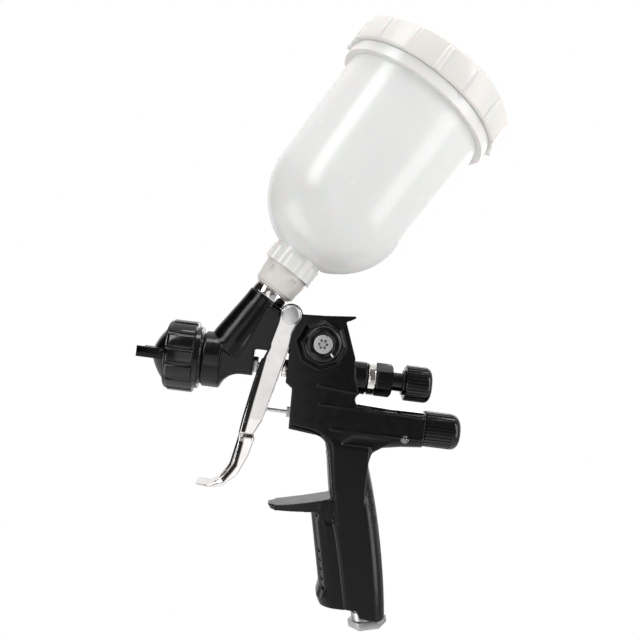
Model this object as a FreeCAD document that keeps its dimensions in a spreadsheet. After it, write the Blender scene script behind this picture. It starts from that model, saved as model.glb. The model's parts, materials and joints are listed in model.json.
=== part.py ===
"""Gravity-feed spray gun with a leaning paint cup, as a parametric assembly of separate pieces.

Lengths are millimetres and angles degrees. The part's frame has +Z up, the spray leaves along -X, and
its origin is the centre of the air inlet's mouth. Most pieces are drawn from the gun's datum: the point on
the spray axis straight below the trigger's pin. The datum's place in the part's frame is the first pair of
sizes below.
"""
import FreeCAD, Part
import math
import os
import Sketcher

Vector = FreeCAD.Vector
Rotation = FreeCAD.Rotation

SIZES = [
    ("datum_x", -64.9, "gun datum behind the inlet mouth"),
    ("datum_z", 139.3, "gun datum above the inlet mouth"),
    ("run_gap", 0.05, "radial clearance of a turning or sliding fit"),
    ("seat_gap", 0.1, "clearance between faces that meet across a joint"),
    ("soft_gap", 0.3, "clearance of soft and curved pieces"),
    # head and spout of the body casting
    ("head_radius", 15.8, "outside of the head"),
    ("head_front_x", -46.0, "front shoulder of the head"),
    ("head_back_x", -36.0, "end of the head's round part"),
    ("head_thread_radius", 15.0, "male thread that takes the cap ring"),
    ("head_thread_length", 12.0, "length of that thread"),
    ("head_relief_radius", 14.4, "groove behind the thread"),
    ("window_front_x", -17.5, "front wall of the needle window"),
    ("window_back_x", 1.7, "back wall of the needle window"),
    ("window_top_z", 8.8, "roof of the needle window"),
    ("neck_bottom_z", -6.2, "underside of the neck behind the head"),
    ("neck_width", 20.0, "neck and web, side to side"),
    ("neck_edge", 2.5, "rounding under the neck"),
    ("cup_lean", 30.6, "lean of the cup axis from upright"),
    ("spout_x", -14.75, "centre of the spout's mouth"),
    ("spout_z", 38.35, "centre of the spout's mouth"),
    ("spout_radius", 10.7, "spout at its mouth"),
    ("spout_root_radius", 12.4, "spout where it meets the head"),
    ("spout_depth", 38.0, "spout from mouth to root"),
    ("spout_bore", 7.0, "thread radius of the spout's mouth"),
    ("paint_bore", 3.6, "radius of the paint passage"),
    # rear block of the body casting
    ("body_width", 24.0, "rear block, side to side"),
    ("pivot_x", 0.3, "trigger pin behind the datum"),
    ("pivot_z", 29.8, "trigger pin above the spray axis"),
    ("hook_top_z", 31.2, "top of the block at the hanging hook's front"),
    ("hook_rise", 2.4, "rise of the hook towards its tip"),
    ("hook_tip_x", 36.8, "tip of the hanging hook"),
    ("block_back_x", 38.7, "back of the block above the barrel"),
    ("block_bottom_z", -33.2, "underside of the block"),
    ("block_front_x", 6.3, "front of the block below the window"),
    ("barrel_radius", 9.3, "needle barrel"),
    ("barrel_back_x", 47.5, "back face of the needle barrel"),
    ("notch_x", 42.0, "bottom of the gap between barrel and arm"),
    ("arm_width", 22.0, "air arm, side to side"),
    ("arm_axis_z", -24.6, "axis of the air valve and its knob"),
    ("arm_top_z", -15.9, "top of the air arm"),
    ("arm_bottom_z", -34.8, "underside of the air arm"),
    ("arm_back_x", 82.0, "back face of the air arm"),
    ("arm_edge", 4.5, "rounding along the arm"),
    # handle of the body casting
    ("handle_width", 25.0, "handle, side to side"),
    ("handle_edge", 8.5, "rounding of the handle's rear edges"),
    ("handle_front_edge", 3.0, "rounding of the handle's front edges"),
    ("grip_edge", 7.5, "rounding of the grip under the guard"),
    ("handle_front_x", 28.8, "front of the handle at its top"),
    ("handle_back_x", 53.0, "back of the handle at its top"),
    ("handle_top_z", -42.0, "top of the handle's straight front"),
    ("guard_root_z", -68.0, "finger guard's top at its root"),
    ("guard_tip_x", 0.0, "finger guard's tip"),
    ("guard_tip_z", -77.0, "finger guard's top at its tip"),
    ("guard_tip_thick", 2.5, "finger guard's thickness at its tip"),
    ("guard_root_thick", 9.0, "finger guard's thickness at its root"),
    ("guard_tip_width", 20.0, "finger guard's width at its tip"),
    ("guard_root_width", 25.0, "finger guard's width at its root"),
    ("grip_front_x", 25.2, "front of the grip under the guard"),
    ("grip_bottom_z", -129.1, "underside of the front grip"),
    ("grip_foot_x", 33.2, "front of the grip at its foot"),
    ("handle_foot_x", 58.4, "front edge of the handle's foot"),
    ("handle_foot_z", -133.0, "underside of the handle's foot"),
    ("handle_heel_x", 73.4, "back of the handle at its foot"),
    # air inlet
    ("inlet_lean", 14.5, "lean of the inlet's axis from upright"),
    ("inlet_hex_flats", 19.0, "spanner size of the inlet"),
    ("inlet_hex_height", 4.3, "height of the inlet's hexagon"),
    ("inlet_bore", 5.9, "radius of the inlet's female thread"),
    ("inlet_thread_length", 9.0, "length of the inlet's female thread"),
    ("inlet_collar_radius", 8.6, "round collar above the inlet's hexagon"),
    ("inlet_collar_length", 4.6, "round collar above the inlet's hexagon"),
    ("inlet_spigot_radius", 7.6, "inlet's male thread in the handle"),
    ("inlet_spigot_length", 11.0, "inlet's male thread in the handle"),
    ("air_bore", 4.6, "radius of the air passage in the handle"),
    ("air_bore_lean", 9.4, "lean of the air passage in the handle"),
    ("air_bore_length", 106.0, "air passage from the inlet to the air valve"),
    # air cap, its ring and the fluid nozzle
    ("nozzle_tip_x", -75.2, "front of the fluid nozzle"),
    ("nozzle_tip_radius", 1.6, "outside of the nozzle's tip"),
    ("nozzle_orifice", 0.8, "radius of the nozzle's orifice"),
    ("nozzle_hex_radius", 7.8, "nozzle's spanner part"),
    ("nozzle_hex_front_x", -61.0, "front of the nozzle's spanner part"),
    ("nozzle_shoulder_x", -53.0, "back of the nozzle's spanner part"),
    ("nozzle_thread_radius", 6.0, "nozzle's male thread"),
    ("nozzle_back_x", -38.0, "back end of the nozzle"),
    ("nozzle_bore", 3.2, "bore of the nozzle"),
    ("cap_front_x", -74.5, "front of the air cap"),
    ("cap_front_radius", 4.6, "flat front of the air cap"),
    ("cap_edge_x", -66.6, "edge of the air cap's dome"),
    ("cap_edge_radius", 16.3, "edge of the air cap's dome"),
    ("cap_wall", 2.0, "wall of the air cap"),
    ("cap_flange_radius", 18.2, "flange that the ring holds"),
    ("cap_flange_front_x", -64.8, "front of that flange"),
    ("cap_flange_thick", 2.2, "thickness of that flange"),
    ("horn_reach", 15.9, "length of the cap's horns from the dome's edge"),
    ("horn_width", 6.0, "width of a horn"),
    ("horn_inner", 8.6, "inner side of a horn from the axis"),
    ("ring_radius", 20.2, "cap ring"),
    ("ring_front_radius", 19.2, "front edge of the cap ring"),
    ("ring_front_x", -66.9, "front of the cap ring"),
    ("ring_back_x", -50.4, "back of the ring's ribbed part"),
    ("ring_collar_radius", 17.5, "plain collar behind the ribs"),
    ("ring_collar_x", -48.0, "back of the plain collar"),
    ("ring_groove_count", 14, "finger grooves around the ring"),
    ("ring_groove_radius", 1.6, "radius of a finger groove"),
    ("clip_thick", 1.0, "clip ring that keeps the cap in"),
    ("ring_plate_thick", 3.0, "air distribution ring"),
    ("chamber_radius", 12.4, "air chamber in the head"),
    # fluid needle and its adjuster
    ("needle_radius", 1.5, "fluid needle"),
    ("needle_tail_x", 36.0, "back end of the needle"),
    ("needle_collar_x", -11.5, "front of the collar that the trigger pushes"),
    ("needle_collar_radius", 4.0, "collar that the trigger pushes"),
    ("needle_collar_length", 3.0, "collar that the trigger pushes"),
    ("gland_radius", 4.6, "hexagon of the packing nut"),
    ("gland_length", 2.4, "visible length of the packing nut"),
    ("gland_thread_radius", 3.4, "thread of the packing nut"),
    ("packing_length", 4.0, "needle packing"),
    ("guide_radius", 5.0, "flange of the needle guide"),
    ("guide_length", 3.0, "flange of the needle guide"),
    ("guide_spigot_radius", 3.6, "spigot of the needle guide"),
    ("guide_spigot_length", 9.0, "spigot of the needle guide"),
    ("spring_bore", 6.8, "bore for the needle's spring"),
    ("spring_bore_x", 20.0, "front of that bore"),
    ("spring_seat_length", 2.5, "washer on the needle that the spring pushes"),
    ("spring_wire", 0.9, "wire of both springs"),
    ("needle_spring_radius", 4.4, "coil radius of the needle's spring"),
    ("needle_spring_turns", 6, "turns of the needle's spring"),
    ("housing_radius", 9.4, "flange of the adjuster's housing"),
    ("housing_flange", 4.0, "flange of the adjuster's housing"),
    ("housing_thread", 8.0, "thread of the adjuster's housing in the barrel"),
    ("lock_nut_flats", 16.5, "spanner size of the lock nut"),
    ("lock_nut_length", 10.0, "lock nut"),
    ("stop_length", 3.0, "head of the needle stop"),
    ("stop_x", 46.0, "front of the needle stop"),
    ("screw_radius", 4.0, "adjusting screw"),
    ("neck_radius", 5.4, "neck of the adjusting screw"),
    ("fluid_knob_x", 69.0, "front of the fluid knob"),
    ("knob_radius", 10.2, "both knurled knobs"),
    ("knob_shoulder_radius", 7.8, "knobs where their domed ends begin to flatten"),
    ("fluid_knob_length", 15.1, "fluid knob"),
    ("knob_ridge_count", 30, "ridges around a knurled knob"),
    ("knob_ridge_depth", 0.5, "depth between two ridges"),
    # air valve
    ("stem_radius", 1.1, "air valve stem"),
    ("stem_front_x", -16.35, "front end of the air valve stem"),
    ("stem_bush_radius", 3.0, "bush around the stem"),
    ("stem_bush_reach", 2.0, "how far the bush stands out of the block"),
    ("stem_bush_length", 16.0, "bush around the stem"),
    ("valve_seat_x", 30.0, "front of the valve seat"),
    ("valve_seat_length", 4.0, "valve seat"),
    ("valve_seat_bore", 3.4, "bore of the valve seat"),
    ("valve_bore", 7.4, "bore for the air valve"),
    ("piston_radius", 6.4, "valve piston"),
    ("piston_length", 5.0, "valve piston"),
    ("air_spring_radius", 4.6, "coil radius of the air valve's spring"),
    ("air_spring_turns", 5, "turns of the air valve's spring"),
    ("air_seat_x", 62.0, "front of the micrometer's spindle"),
    ("air_spindle_radius", 6.0, "micrometer's spindle"),
    ("air_sleeve_length", 12.0, "threaded sleeve in the arm's end"),
    ("air_knob_length", 20.9, "air micrometer knob"),
    ("set_screw_x", 71.5, "micrometer's set screw"),
    ("set_screw_z", -31.2, "micrometer's set screw"),
    ("set_screw_radius", 2.1, "micrometer's set screw"),
    ("set_screw_length", 3.4, "micrometer's set screw"),
    # fan width control
    ("fan_x", 19.4, "axis of the fan knob"),
    ("fan_z", 15.9, "axis of the fan knob"),
    ("fan_boss_base", 14.6, "corner radius of the eight-sided boss at its base"),
    ("fan_boss_top", 11.4, "corner radius of that boss at its top"),
    ("fan_boss_height", 4.6, "height of that boss"),
    ("fan_knob_radius", 9.8, "fan knob"),
    ("fan_knob_length", 6.4, "fan knob"),
    ("fan_screw_radius", 5.1, "head of the fan knob's screw"),
    ("fan_screw_length", 1.5, "head of the fan knob's screw"),
    ("fan_shank_radius", 1.9, "shank of the fan knob's screw"),
    ("fan_spindle_radius", 4.6, "fan control spindle"),
    ("fan_spindle_length", 15.0, "fan control spindle"),
    ("seal_section", 0.9, "section radius of the fan spindle's seal"),
    # trigger and its pin
    ("trigger_wall", 1.3, "sheet of the trigger"),
    ("trigger_gap", 0.25, "between the body and each trigger arm"),
    ("trigger_unit", 1.0, "unit of the trigger's corner points, from the gun datum"),
    ("trigger_lower_width", 20.0, "finger part of the trigger"),
    ("trigger_eye_radius", 5.8, "eye around the pin"),
    ("pin_radius", 2.5, "trigger pin"),
    ("pin_head_radius", 5.2, "heads of the trigger pin"),
    ("pin_head_length", 1.4, "heads of the trigger pin"),
    # cup and lid, measured along the cup's axis from the spout's mouth
    ("fitting_radius", 10.3, "cup fitting's flange"),
    ("fitting_flange", 5.4, "cup fitting's flange"),
    ("fitting_stud_radius", 8.0, "cup fitting's male thread"),
    ("fitting_stud_length", 9.6, "cup fitting's male thread"),
    ("fitting_spigot", 8.0, "cup fitting's thread in the spout"),
    ("fitting_bore", 4.8, "bore of the cup fitting"),
    ("adapter_bottom_radius", 12.3, "cup nut at its bottom"),
    ("adapter_top_radius", 13.3, "cup nut at its top"),
    ("adapter_length", 14.0, "cup nut"),
    ("adapter_neck_length", 7.0, "cup nut's neck inside the cup"),
    ("adapter_neck_radius", 9.0, "cup nut's neck inside the cup"),
    ("adapter_notch_count", 6, "grip notches around the cup nut"),
    ("adapter_notch_width", 3.6, "grip notch"),
    ("adapter_notch_depth", 0.7, "grip notch"),
    ("adapter_notch_length", 7.5, "grip notch"),
    ("gasket_thick", 1.0, "cup gasket and lid gasket"),
    ("cup_flange_radius", 16.4, "six-lobed flange under the cup"),
    ("cup_flange_length", 8.6, "six-lobed flange under the cup"),
    ("cup_radius", 43.0, "cup at the top of its dome"),
    ("cup_mouth_radius", 44.4, "cup at its mouth"),
    ("cup_height", 122.0, "cup from the flange's bottom to the rim"),
    ("cup_wall", 1.9, "wall of the cup"),
    ("cup_rim_reach", 3.6, "how far the rim band under the lid stands out of the mouth"),
    ("cup_rim_length", 5.8, "rim band under the lid"),
    ("cup_thread_length", 11.0, "threaded mouth inside the lid"),
    ("cup_foot_inset", 1.6, "foot of the dome inside the flange's edge"),
    ("cup_foot_height", 2.6, "foot of the dome above the flange"),
    ("cup_floor", 3.4, "cup's floor above the flange"),
    ("lid_gasket_width", 3.5, "lid gasket"),
    ("lid_skirt", 5.75, "wall of the lid around the cup's mouth"),
    ("lid_height", 17.6, "lid"),
    ("lid_edge", 0.8, "chamfer at the lid's lower edge"),
    ("lid_crown", 4.0, "rounding at the lid's top edge"),
    ("lid_grip_count", 16, "grip ribs around the lid"),
    ("lid_grip_radius", 2.4, "section of a grip rib"),
    ("lid_grip_reach", 0.9, "how far a grip rib stands out"),
    ("vent_radius", 5.0, "vent plug in the lid"),
    ("vent_rim", 1.5, "rim of the vent plug"),
    ("vent_sink", 1.2, "how deep the vent plug's middle lies"),
    ("strainer_radius", 4.4, "paint strainer"),
    ("strainer_length", 30.0, "paint strainer"),
    ("strainer_wall", 0.8, "paint strainer"),
    ("strainer_seat", 4.0, "how far the strainer stands in the cup nut's neck"),
    ("strainer_taper", 1.2, "how much narrower the strainer's closed end is"),
    ("strainer_taper_length", 2.0, "length of that taper"),
    ("adapter_edge", 1.4, "rounding at the cup nut's lower edge"),
    ("adapter_band", 3.0, "plain band at the cup nut's top"),
    ("fitting_edge", 0.5, "chamfers of the cup fitting"),
    ("head_relief_length", 1.5, "undercut behind the head's thread"),
    ("cast_edge", 0.6, "chamfers of the head and the spout"),
    ("neck_curve_reach", 12.5, "length of the curve under the neck"),
    ("neck_back_reach", 4.0, "how far the neck's bridge runs past the window"),
    ("spout_root_length", 8.0, "straight root of the spout"),
    ("spout_neck_length", 6.0, "straight top of the spout"),
    ("hook_lip", 0.8, "chamfer at the hook's tip, along"),
    ("hook_lip_drop", 0.9, "chamfer at the hook's tip, down"),
    ("hook_under", 3.0, "hook's tip to its underside"),
    ("hook_root", 5.4, "hook's tip to its root"),
    ("barrel_step", 1.2, "how far the block stands out round the barrel"),
    ("barrel_edge", 1.0, "chamfer of the barrel"),
    ("arm_rise", 1.6, "how much higher the arm's top is at the block"),
    ("arm_curve_back", 5.6, "start of the curve under the arm, behind the handle"),
    ("arm_curve_front", 1.4, "end of the curve under the arm, behind the handle"),
    ("arm_root", 12.0, "how far the arm's root reaches into the block and handle"),
    ("pivot_boss_edge", 0.8, "how far the pivot's boss stands out round the trigger's eye"),
]

os.makedirs("parts", exist_ok=True)
doc = FreeCAD.newDocument("SprayGun")
sheet = doc.addObject("Spreadsheet::Sheet", "Sizes")


class Size:
    """A number together with the spreadsheet expression that gives it."""

    def __init__(self, value, text):
        self.value = value
        self.text = text

    def join(self, sign, other, value, swap=False):
        first, last = (other.text, self.text) if swap else (self.text, other.text)
        return Size(value, f"({first} {sign} {last})")

    def __add__(self, other):
        other = as_size(other)
        return self.join("+", other, self.value + other.value)

    def __radd__(self, other):
        return as_size(other) + self

    def __sub__(self, other):
        other = as_size(other)
        return self.join("-", other, self.value - other.value)

    def __rsub__(self, other):
        return as_size(other) - self

    def __mul__(self, other):
        other = as_size(other)
        return self.join("*", other, self.value * other.value)

    def __rmul__(self, other):
        return as_size(other) * self

    def __truediv__(self, other):
        other = as_size(other)
        return self.join("/", other, self.value / other.value)

    def __rtruediv__(self, other):
        return as_size(other) / self

    def __neg__(self):
        return as_size(0) - self


def as_size(number):
    return number if isinstance(number, Size) else Size(float(number), repr(float(number)))


def sine(angle):
    angle = as_size(angle)
    return Size(math.sin(math.radians(angle.value)), f"sin({angle.text} * 1 deg)")


def cosine(angle):
    angle = as_size(angle)
    return Size(math.cos(math.radians(angle.value)), f"cos({angle.text} * 1 deg)")


class Named:
    """The spreadsheet's sizes by name."""


s = Named()
for row, (alias, number, note) in enumerate(SIZES, start=1):
    sheet.set(f"A{row}", str(number))
    sheet.setAlias(f"A{row}", alias)
    sheet.set(f"B{row}", note)
    setattr(s, alias, Size(float(number), f"Sizes.{alias}"))
doc.recompute()

nodes = []


def bind(thing, **settings):
    """Binds properties of an object to sizes."""
    for name, amount in settings.items():
        thing.setExpression(name, as_size(amount).text)


def node(thing, name):
    """Marks an object as one of the assembly's pieces, and names it."""
    thing.Label = name
    nodes.append(thing)
    return thing


# Directions that a piece's own +Z can be turned to: the turn's axis and its angle.
UP = (Vector(0, 1, 0), as_size(0))
BACK = (Vector(0, 1, 0), as_size(90))
LEFT = (Vector(1, 0, 0), as_size(90))
CUP = (Vector(0, 1, 0), s.cup_lean)
INLET = (Vector(0, 1, 0), 180 - s.inlet_lean)


def put(thing, x=0, y=0, z=0, way=UP):
    """Places an object: x, y and z from the gun's datum, and its own +Z turned to a direction."""
    axis, angle = way
    thing.Placement = FreeCAD.Placement(Vector(0, 0, 0), Rotation(axis, angle.value))
    base = (s.datum_x + x, as_size(y), s.datum_z + z)
    for letter, amount in zip("xyz", base):
        thing.setExpression(f"Placement.Base.{letter}", amount.text)
    if "Sizes" in angle.text:
        thing.setExpression("Placement.Rotation.Angle", angle.text)
    return thing


def put_on_cup(thing, along=0):
    """Places an object on the cup's axis, at a distance from the spout's mouth."""
    across = s.spout_x + along * sine(s.cup_lean)
    up = s.spout_z + along * cosine(s.cup_lean)
    return put(thing, across, 0, up, CUP)


def put_on_inlet(thing, along=0):
    """Places an object on the inlet's axis, at a distance up from its mouth, its own +Z pointing out."""
    across = -along * sine(s.inlet_lean) - s.datum_x
    up = along * cosine(s.inlet_lean) - s.datum_z
    return put(thing, across, 0, up, INLET)


def origin_feature(body, role):
    return [item for item in body.Origin.OriginFeatures if item.Role == role][0]


def outline(body, plane, points, name):
    """A closed sketch. A point is (across, up), or (across, up, bulge) where the side that ends there is an
    arc: bulge is the arc's height as a share of its chord, positive on the left of the way of travel."""
    sketch = body.newObject("Sketcher::SketchObject", name)
    sketch.AttachmentSupport = [(origin_feature(body, plane), "")]
    sketch.MapMode = "FlatFace"
    corners = [(as_size(point[0]), as_size(point[1])) for point in points]
    first_end, last_end = 1, 2
    ends = []
    for index, point in enumerate(points):
        start = Vector(corners[index - 1][0].value, corners[index - 1][1].value, 0)
        end = Vector(corners[index][0].value, corners[index][1].value, 0)
        bulge = point[2] if len(point) == 3 else 0
        chord = end - start
        middle = (start + end) / 2 + Vector(-chord.y, chord.x, 0) * bulge
        if bulge == 0:
            sketch.addGeometry(Part.LineSegment(start, end))
        elif bulge > 0:
            # arcs in a sketch run counter-clockwise, so this one runs from its end to its start
            sketch.addGeometry(Part.Arc(end, middle, start))
        else:
            sketch.addGeometry(Part.Arc(start, middle, end))
        ends.append((last_end, first_end) if bulge > 0 else (first_end, last_end))
    for index in range(len(points)):
        joint = Sketcher.Constraint("Coincident", index - 1 if index else len(points) - 1, ends[index - 1][1],
                                    index, ends[index][0])
        sketch.addConstraint(joint)
    for index, point in enumerate(points):
        for kind, amount in zip(("DistanceX", "DistanceY"), corners[index]):
            corner = Sketcher.Constraint(kind, -1, 1, index, ends[index][1], amount.value)
            number = sketch.addConstraint(corner)
            if "Sizes" in amount.text:
                sketch.setExpression(f"Constraints[{number}]", amount.text)
        if len(point) == 3:
            across = corners[index][0] - corners[index - 1][0]
            up = corners[index][1] - corners[index - 1][1]
            factor = abs((1 + 4 * point[2] ** 2) / (8 * point[2]))
            number = sketch.addConstraint(Sketcher.Constraint("Radius", index, sketch.Geometry[index].Radius))
            chord = f"sqrt({across.text} ^ 2 + {up.text} ^ 2)"
            sketch.setExpression(f"Constraints[{number}]", f"{factor!r} * {chord}")
    return sketch


def turned(name, points):
    """A body turned about its own Z: points are (radius, height)."""
    body = doc.addObject("PartDesign::Body", name)
    sketch = outline(body, "XZ_Plane", points, name + "_section")
    turn = body.newObject("PartDesign::Revolution", name + "_turn")
    turn.Profile = (sketch, [""])
    turn.ReferenceAxis = (origin_feature(body, "Z_Axis"), [""])
    turn.Angle = 360
    return body


def plate(name, points, width, *roundings):
    """A body with a side outline, the same width on both sides of the middle plane.

    Each rounding is a radius and a test that picks, by their middle points, the side edges that get it."""
    body = doc.addObject("PartDesign::Body", name)
    sketch = outline(body, "XZ_Plane", points, name + "_side")
    last = body.newObject("PartDesign::Pad", name + "_pad")
    last.Profile = (sketch, [""])
    last.SideType = "Symmetric"
    bind(last, Length=width)
    half = as_size(width).value / 2
    for index, (radius, picks) in enumerate(roundings):
        doc.recompute()
        picked = []
        for number, edge in enumerate(last.Shape.Edges, start=1):
            middle = edge.valueAt((edge.FirstParameter + edge.LastParameter) / 2)
            on_side = abs(abs(edge.BoundBox.YMin) - half) < 1e-4 and edge.BoundBox.YLength < 1e-4
            if on_side and picks(middle):
                picked.append(f"Edge{number}")
        fillet = body.newObject("PartDesign::Fillet", f"{name}_rounding_{index}")
        fillet.Base = (last, picked)
        bind(fillet, Radius=radius)
        body.Tip = fillet
        last = fillet
    return body


def cylinder(name, radius, length):
    thing = doc.addObject("Part::Cylinder", name)
    bind(thing, Radius=radius, Height=length)
    return thing


def prism(name, flats, length):
    """A hexagonal bar by its spanner size."""
    thing = doc.addObject("Part::Prism", name)
    thing.Polygon = 6
    bind(thing, Circumradius=flats / (2 * cosine(30)), Height=length)
    return thing


def fuse(name, things):
    joined = doc.addObject("Part::MultiFuse", name)
    joined.Shapes = things
    return joined


def cut(name, base, tools):
    """Base less one or more tools."""
    tool = tools[0] if len(tools) == 1 else fuse(name + "_cutters", tools)
    result = doc.addObject("Part::Cut", name)
    result.Base = base
    result.Tool = tool
    return result


def around(count_size, make):
    """One tool for each place around a circle: make(index, angle as a size)."""
    count = int(round(count_size.value))
    return [make(index, index * 360 / count_size) for index in range(count)]


# ---- body casting --------------------------------------------------------------------------------
head_base_x = s.head_front_x - s.head_thread_length
head_length = s.head_back_x - head_base_x
barrel_base_x = s.window_back_x + 3
cup_reach = s.spout_z / cosine(s.cup_lean)
arm_bore_length = s.arm_back_x - s.valve_seat_x


def body_casting():
    head = turned("casting_head", [
        (0, 0),
        (s.head_thread_radius, 0),
        (s.head_thread_radius, s.head_thread_length - s.head_relief_length),
        (s.head_relief_radius, s.head_thread_length - s.head_relief_length),
        (s.head_relief_radius, s.head_thread_length),
        (s.head_radius - s.cast_edge, s.head_thread_length),
        (s.head_radius, s.head_thread_length + s.cast_edge),
        (s.head_radius, head_length),
        (0, head_length),
    ])
    put(head, head_base_x, 0, 0, BACK)
    neck = plate("casting_neck", [
        (s.head_back_x, 0.3 - s.head_radius),
        (s.head_back_x + s.neck_curve_reach, s.neck_bottom_z, 0.165),
        (s.window_front_x, s.neck_bottom_z),
        (s.window_front_x, s.window_top_z),
        (s.window_back_x + s.neck_back_reach, s.window_top_z),
        (s.window_back_x + s.neck_back_reach, s.hook_top_z - 1.2),
        (s.spout_x + 9.5, s.hook_top_z),
        (s.spout_x - 4.5, s.spout_z - 3),
        (s.head_back_x - 1.5, s.head_radius - 4),
    ], s.neck_width, (s.neck_edge, lambda middle: middle.z < s.neck_bottom_z.value + 0.5))
    put(neck)
    spout = turned("casting_spout", [
        (0, 0),
        (s.spout_root_radius, 0),
        (s.spout_root_radius, s.spout_root_length),
        (s.spout_radius, s.spout_depth - s.spout_neck_length),
        (s.spout_radius, s.spout_depth - s.cast_edge),
        (s.spout_radius - s.cast_edge, s.spout_depth),
        (0, s.spout_depth),
    ])
    put_on_cup(spout, -s.spout_depth)
    block = plate("casting_block", [
        (s.window_back_x, s.hook_top_z - 0.4),
        (s.pivot_x + 6.2, s.hook_top_z),
        (s.fan_x + 0.6, s.hook_top_z + s.hook_rise * 0.34),
        (s.hook_tip_x - s.hook_lip, s.hook_top_z + s.hook_rise),
        (s.hook_tip_x, s.hook_top_z + s.hook_rise - s.hook_lip_drop),
        (s.hook_tip_x - s.hook_under, s.hook_top_z - 0.4),
        (s.hook_tip_x - s.hook_root, s.hook_top_z - 1.4),
        (s.block_back_x, s.barrel_radius + s.barrel_step),
        (s.block_back_x + 1, 0),
        (s.notch_x + 1, -s.barrel_radius),
        (s.notch_x + 1, s.arm_top_z + 1, -0.3),
        (s.notch_x, s.block_bottom_z),
        (s.handle_front_x + 0.5, s.handle_top_z - 1),
        (s.handle_front_x - 7.5, s.block_bottom_z - 1.5, -0.2),
        (s.block_front_x + 0.2, s.block_bottom_z),
        (s.block_front_x - 0.6, -s.barrel_radius - s.barrel_step),
        (s.window_back_x + 2.3, -s.barrel_radius),
        (s.window_back_x, 1.8 - s.barrel_radius),
    ], s.body_width)
    put(block)
    pivot_boss = cylinder("casting_pivot_boss", s.trigger_eye_radius + s.pivot_boss_edge, s.body_width)
    put(pivot_boss, s.pivot_x, s.body_width / 2, s.pivot_z, LEFT)
    barrel = turned("casting_barrel", [
        (0, 0),
        (s.barrel_radius, 0),
        (s.barrel_radius, s.barrel_back_x - barrel_base_x - s.barrel_edge),
        (s.barrel_radius - s.barrel_edge, s.barrel_back_x - barrel_base_x),
        (0, s.barrel_back_x - barrel_base_x),
    ])
    put(barrel, barrel_base_x, 0, 0, BACK)
    arm = plate("casting_arm", [
        (s.notch_x - s.arm_root, s.arm_top_z + s.arm_rise),
        (s.arm_back_x - 20, s.arm_top_z + 0.3),
        (s.arm_back_x, s.arm_top_z + 0.4),
        (s.arm_back_x, s.arm_bottom_z),
        (s.arm_back_x - 12, s.arm_bottom_z - 1.2),
        (s.handle_back_x + s.arm_curve_back, s.arm_bottom_z - 3.3),
        (s.handle_back_x + s.arm_curve_front, s.arm_bottom_z - 6.2),
        (s.handle_back_x, s.arm_bottom_z - s.arm_root),
        (s.notch_x - s.arm_root, s.arm_bottom_z - s.arm_root),
    ], s.arm_width, (s.arm_edge, lambda middle: middle.x > s.notch_x.value + 2 and abs(
        middle.x - s.arm_back_x.value) > 0.1 and middle.z > s.arm_bottom_z.value - 3))
    put(arm)
    handle_guard_x = s.handle_front_x + 5
    handle = plate("casting_handle", [
        (s.handle_front_x, s.handle_top_z + 4),
        (handle_guard_x, s.guard_root_z + 2),
        (handle_guard_x + 5.5, s.guard_root_z - 20),
        (s.grip_foot_x + 16.8, s.grip_bottom_z),
        (s.handle_foot_x - 2.4, s.grip_bottom_z),
        (s.handle_foot_x, s.handle_foot_z),
        (s.handle_heel_x, s.handle_foot_z - 1),
        (s.handle_back_x, s.handle_top_z - 4, -0.026),
        (s.handle_back_x, s.handle_top_z + 4),
    ], s.handle_width,
        (s.handle_edge, lambda middle: middle.x > s.handle_back_x.value and middle.z > s.grip_bottom_z.value),
        (s.handle_front_edge,
         lambda middle: middle.x < handle_guard_x.value and middle.z < s.handle_top_z.value))
    put(handle)
    grip = plate("casting_front_grip", [
        (s.grip_front_x - 0.8, s.guard_root_z - 8.5),
        (s.grip_foot_x + 0.8, s.grip_bottom_z + 10.6),
        (s.grip_foot_x, s.grip_bottom_z + 4.6),
        (s.grip_foot_x + 2.5, s.grip_bottom_z),
        (s.grip_foot_x + 18, s.grip_bottom_z),
        (handle_guard_x + 7, s.guard_root_z - 8.5),
    ], s.handle_width, (s.grip_edge, lambda middle: middle.x < s.grip_foot_x.value + 2))
    put(grip)
    guard_side = plate("casting_guard_side", [
        (s.guard_tip_x, s.guard_tip_z),
        (handle_guard_x + 2, s.guard_root_z - 0.3, -0.02),
        (handle_guard_x + 2, s.guard_root_z - s.guard_root_thick - 3),
        (s.grip_front_x + 1, s.guard_root_z - s.guard_root_thick - 0.4),
        (s.guard_tip_x + 2, s.guard_tip_z - s.guard_tip_thick),
    ], s.guard_root_width)
    put(guard_side)
    guard_plan = doc.addObject("PartDesign::Body", "casting_guard_plan")
    half_root = s.guard_root_width / 2
    half_tip = s.guard_tip_width / 2
    plan = outline(guard_plan, "XY_Plane", [
        (s.guard_tip_x, half_tip / 2 - half_tip),
        (s.guard_tip_x + 4, -half_tip, 0.15),
        (s.guard_tip_x + 13, 0.9 - half_root),
        (handle_guard_x + 2, -half_root),
        (handle_guard_x + 2, half_root),
        (s.guard_tip_x + 13, half_root - 0.9),
        (s.guard_tip_x + 4, half_tip),
        (s.guard_tip_x, half_tip / 2, 0.15),
    ], "casting_guard_plan_outline")
    plan_pad = guard_plan.newObject("PartDesign::Pad", "casting_guard_plan_pad")
    plan_pad.Profile = (plan, [""])
    plan_pad.SideType = "Symmetric"
    bind(plan_pad, Length=4 * s.guard_root_thick)
    put(guard_plan, 0, 0, s.guard_tip_z)
    guard = doc.addObject("Part::MultiCommon", "casting_guard")
    guard.Shapes = [guard_side, guard_plan]
    boss_rings = []
    for name, radius, height in (("base", s.fan_boss_base, 0), ("top", s.fan_boss_top, s.fan_boss_height)):
        ring = doc.addObject("Part::RegularPolygon", "casting_fan_boss_" + name)
        ring.Polygon = 8
        bind(ring, Circumradius=radius)
        put(ring, s.fan_x, -(s.body_width / 2 - 0.5 + height), s.fan_z, LEFT)
        boss_rings.append(ring)
    boss = doc.addObject("Part::Loft", "casting_fan_boss")
    boss.Sections = boss_rings
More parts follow.
